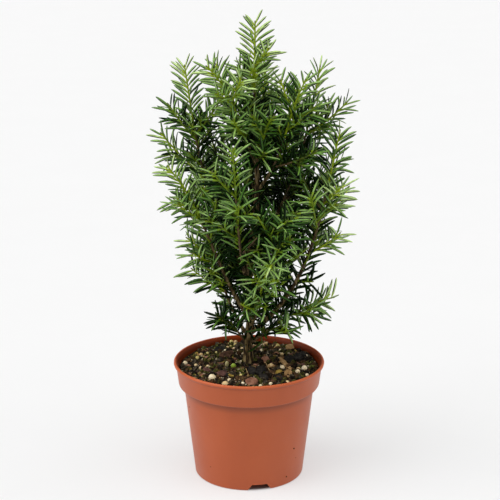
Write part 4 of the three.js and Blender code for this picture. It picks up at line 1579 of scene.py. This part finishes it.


# The needles' tints, from painted shade to painted light with fresh green toward the tips, by how much
# painted light a
# spray gets: name, upper side, underside, foot and gloss.
NEEDLE_TINTS = [
    ("needles_deep_painted_shade", (11, 32, 2), (16, 34, 4), (26, 40, 3), 0.08),
    ("needles_painted_shade", (42, 76, 13), (42, 68, 16), (52, 76, 8), 0.3),
    ("needles_grown_painted_light", (84, 119, 43), (78, 108, 40), (96, 124, 18), 0.55),
    ("needles_young_painted_light", (114, 145, 71), (108, 136, 66), (118, 144, 26), 0.65),
    ("needles_fresh_painted_light", (156, 180, 110), (152, 174, 108), (146, 166, 44), 0.65),
]

# Painted shade: how dark the half of a needle's upper side is that looks back down its shoot, as a share of
# the other.
DARK_HALF_PAINTED_SHARE = 0.42


def dress_needles():
    """Needles from painted shade in the crown's depth to fresh green, partly painted light, at the leader and
    the tips.
    """
    points, rootward, tint = needles()
    for i, (name, upper, under, foot, gloss) in enumerate(NEEDLE_TINTS):
        # The painted shade on the half of the upper side that looks back down the shoot.
        painted_half_shade = [value * DARK_HALF_PAINTED_SHARE for value in upper]
        looks = [needle_look(name + "_upper", upper, 1.35, 0.26, gloss),
                 needle_look(name + "_under", under, 1.2, 0.55, gloss),
                 needle_look(name + "_foot", foot, 1.2, 0.5, gloss * 0.5),
                 needle_look(name + "_shaded", painted_half_shade, 1.2, 0.6, gloss * 0.4)]
        piece(name, needle_pile(points[tint == i], rootward[tint == i]), looks)


# ---- The stage ----

# Soft lights from far off: name, strength, softness, compass angle and height of where they stand. The sky
# gives the rest.
LIGHTS = [
    ("top", 1.35, 50, 250, 76),
    ("key", 1.4, 55, 198, 38),
    ("fill", 0.75, 60, 350, 42),
]
SKY = 0.3

# The floor's size in metres and its greys, and its glow: how far from the middle that starts and is full,
# in millimetres.
FLOOR = {"size": 600, "greys": (0.405, 0.41, 0.415)}
GLOW = {"strength": 0.475, "starts": 50, "full": 55}

# The wall all round, which only the camera sees: its sizes in metres and its glow.
WALL = {"radius": 15, "height": 9, "glow": 1.05}


def glow_beside_pot(made):
    """A floor's glow, which stops under the pot."""
    away = add_node(made, "VectorMath", {0: object_place(made)})
    away.operation = "LENGTH"
    reach = {"From Min": GLOW["starts"] * MM, "From Max": GLOW["full"] * MM, "To Max": GLOW["strength"]}
    return add_node(made, "MapRange", {"Value": away.outputs["Value"], **reach}).outputs["Result"]


def pale_floor():
    """A wide pale floor that glows a little."""
    bpy.ops.mesh.primitive_plane_add(size=FLOOR["size"])
    floor = bpy.context.object
    floor.name = "floor"
    dark, middle, light = (grey(value) for value in FLOOR["greys"])
    white = look("floor_white", middle, 0.75)
    tinted(white, grain(white, 9, 3), [(0.2, dark), (0.8, light)])
    shade(white, {"Emission Color": grey(1), "Emission Strength": glow_beside_pot(white)})
    floor.data.materials.append(white)


def bright_wall():
    """A white wall all round."""
    bpy.ops.mesh.primitive_cylinder_add(vertices=96, radius=WALL["radius"], depth=WALL["height"],
                                        end_fill_type="NOTHING")
    wall = bpy.context.object
    wall.name = "wall"
    wall.visible_diffuse = False
    wall.visible_glossy = False
    wall.visible_shadow = False
    bright = look("wall_white", grey(0), 1)
    shade(bright, {"Emission Color": grey(1), "Emission Strength": WALL["glow"]})
    wall.data.materials.append(bright)


def daylight():
    """The sky and the lights."""
    world = bpy.data.worlds.new("studio")
    world.use_nodes = True
    background = world.node_tree.nodes["Background"]
    background.inputs["Color"].default_value = grey(1)
    background.inputs["Strength"].default_value = SKY
    bpy.context.scene.world = world
    for name, strength, softness, toward, height in LIGHTS:
        light = bpy.data.lights.new(name, "SUN")
        light.energy = strength
        light.angle = math.radians(softness)
        lamp = bpy.data.objects.new(name, light)
        lamp.rotation_euler = Vector(heading(toward, height)).to_track_quat("Z", "Y").to_euler()
        bpy.context.scene.collection.objects.link(lamp)


def camera():
    """The photograph's viewpoint."""
    made = bpy.data.cameras.new("camera")
    made.lens = CAMERA["lens"]
    made.sensor_width = CAMERA["sensor"]
    eye = bpy.data.objects.new("camera", made)
    eye.location = CAMERA["place"]
    eye.rotation_euler = (math.radians(CAMERA["pitch"]), 0, 0)
    bpy.context.scene.collection.objects.link(eye)
    bpy.context.scene.camera = eye


bpy.context.scene.view_settings.view_transform = "Standard"
camera()
pale_floor()
bright_wall()
daylight()
dress_pot()
dress_soil()
dress_wood()
dress_needles()
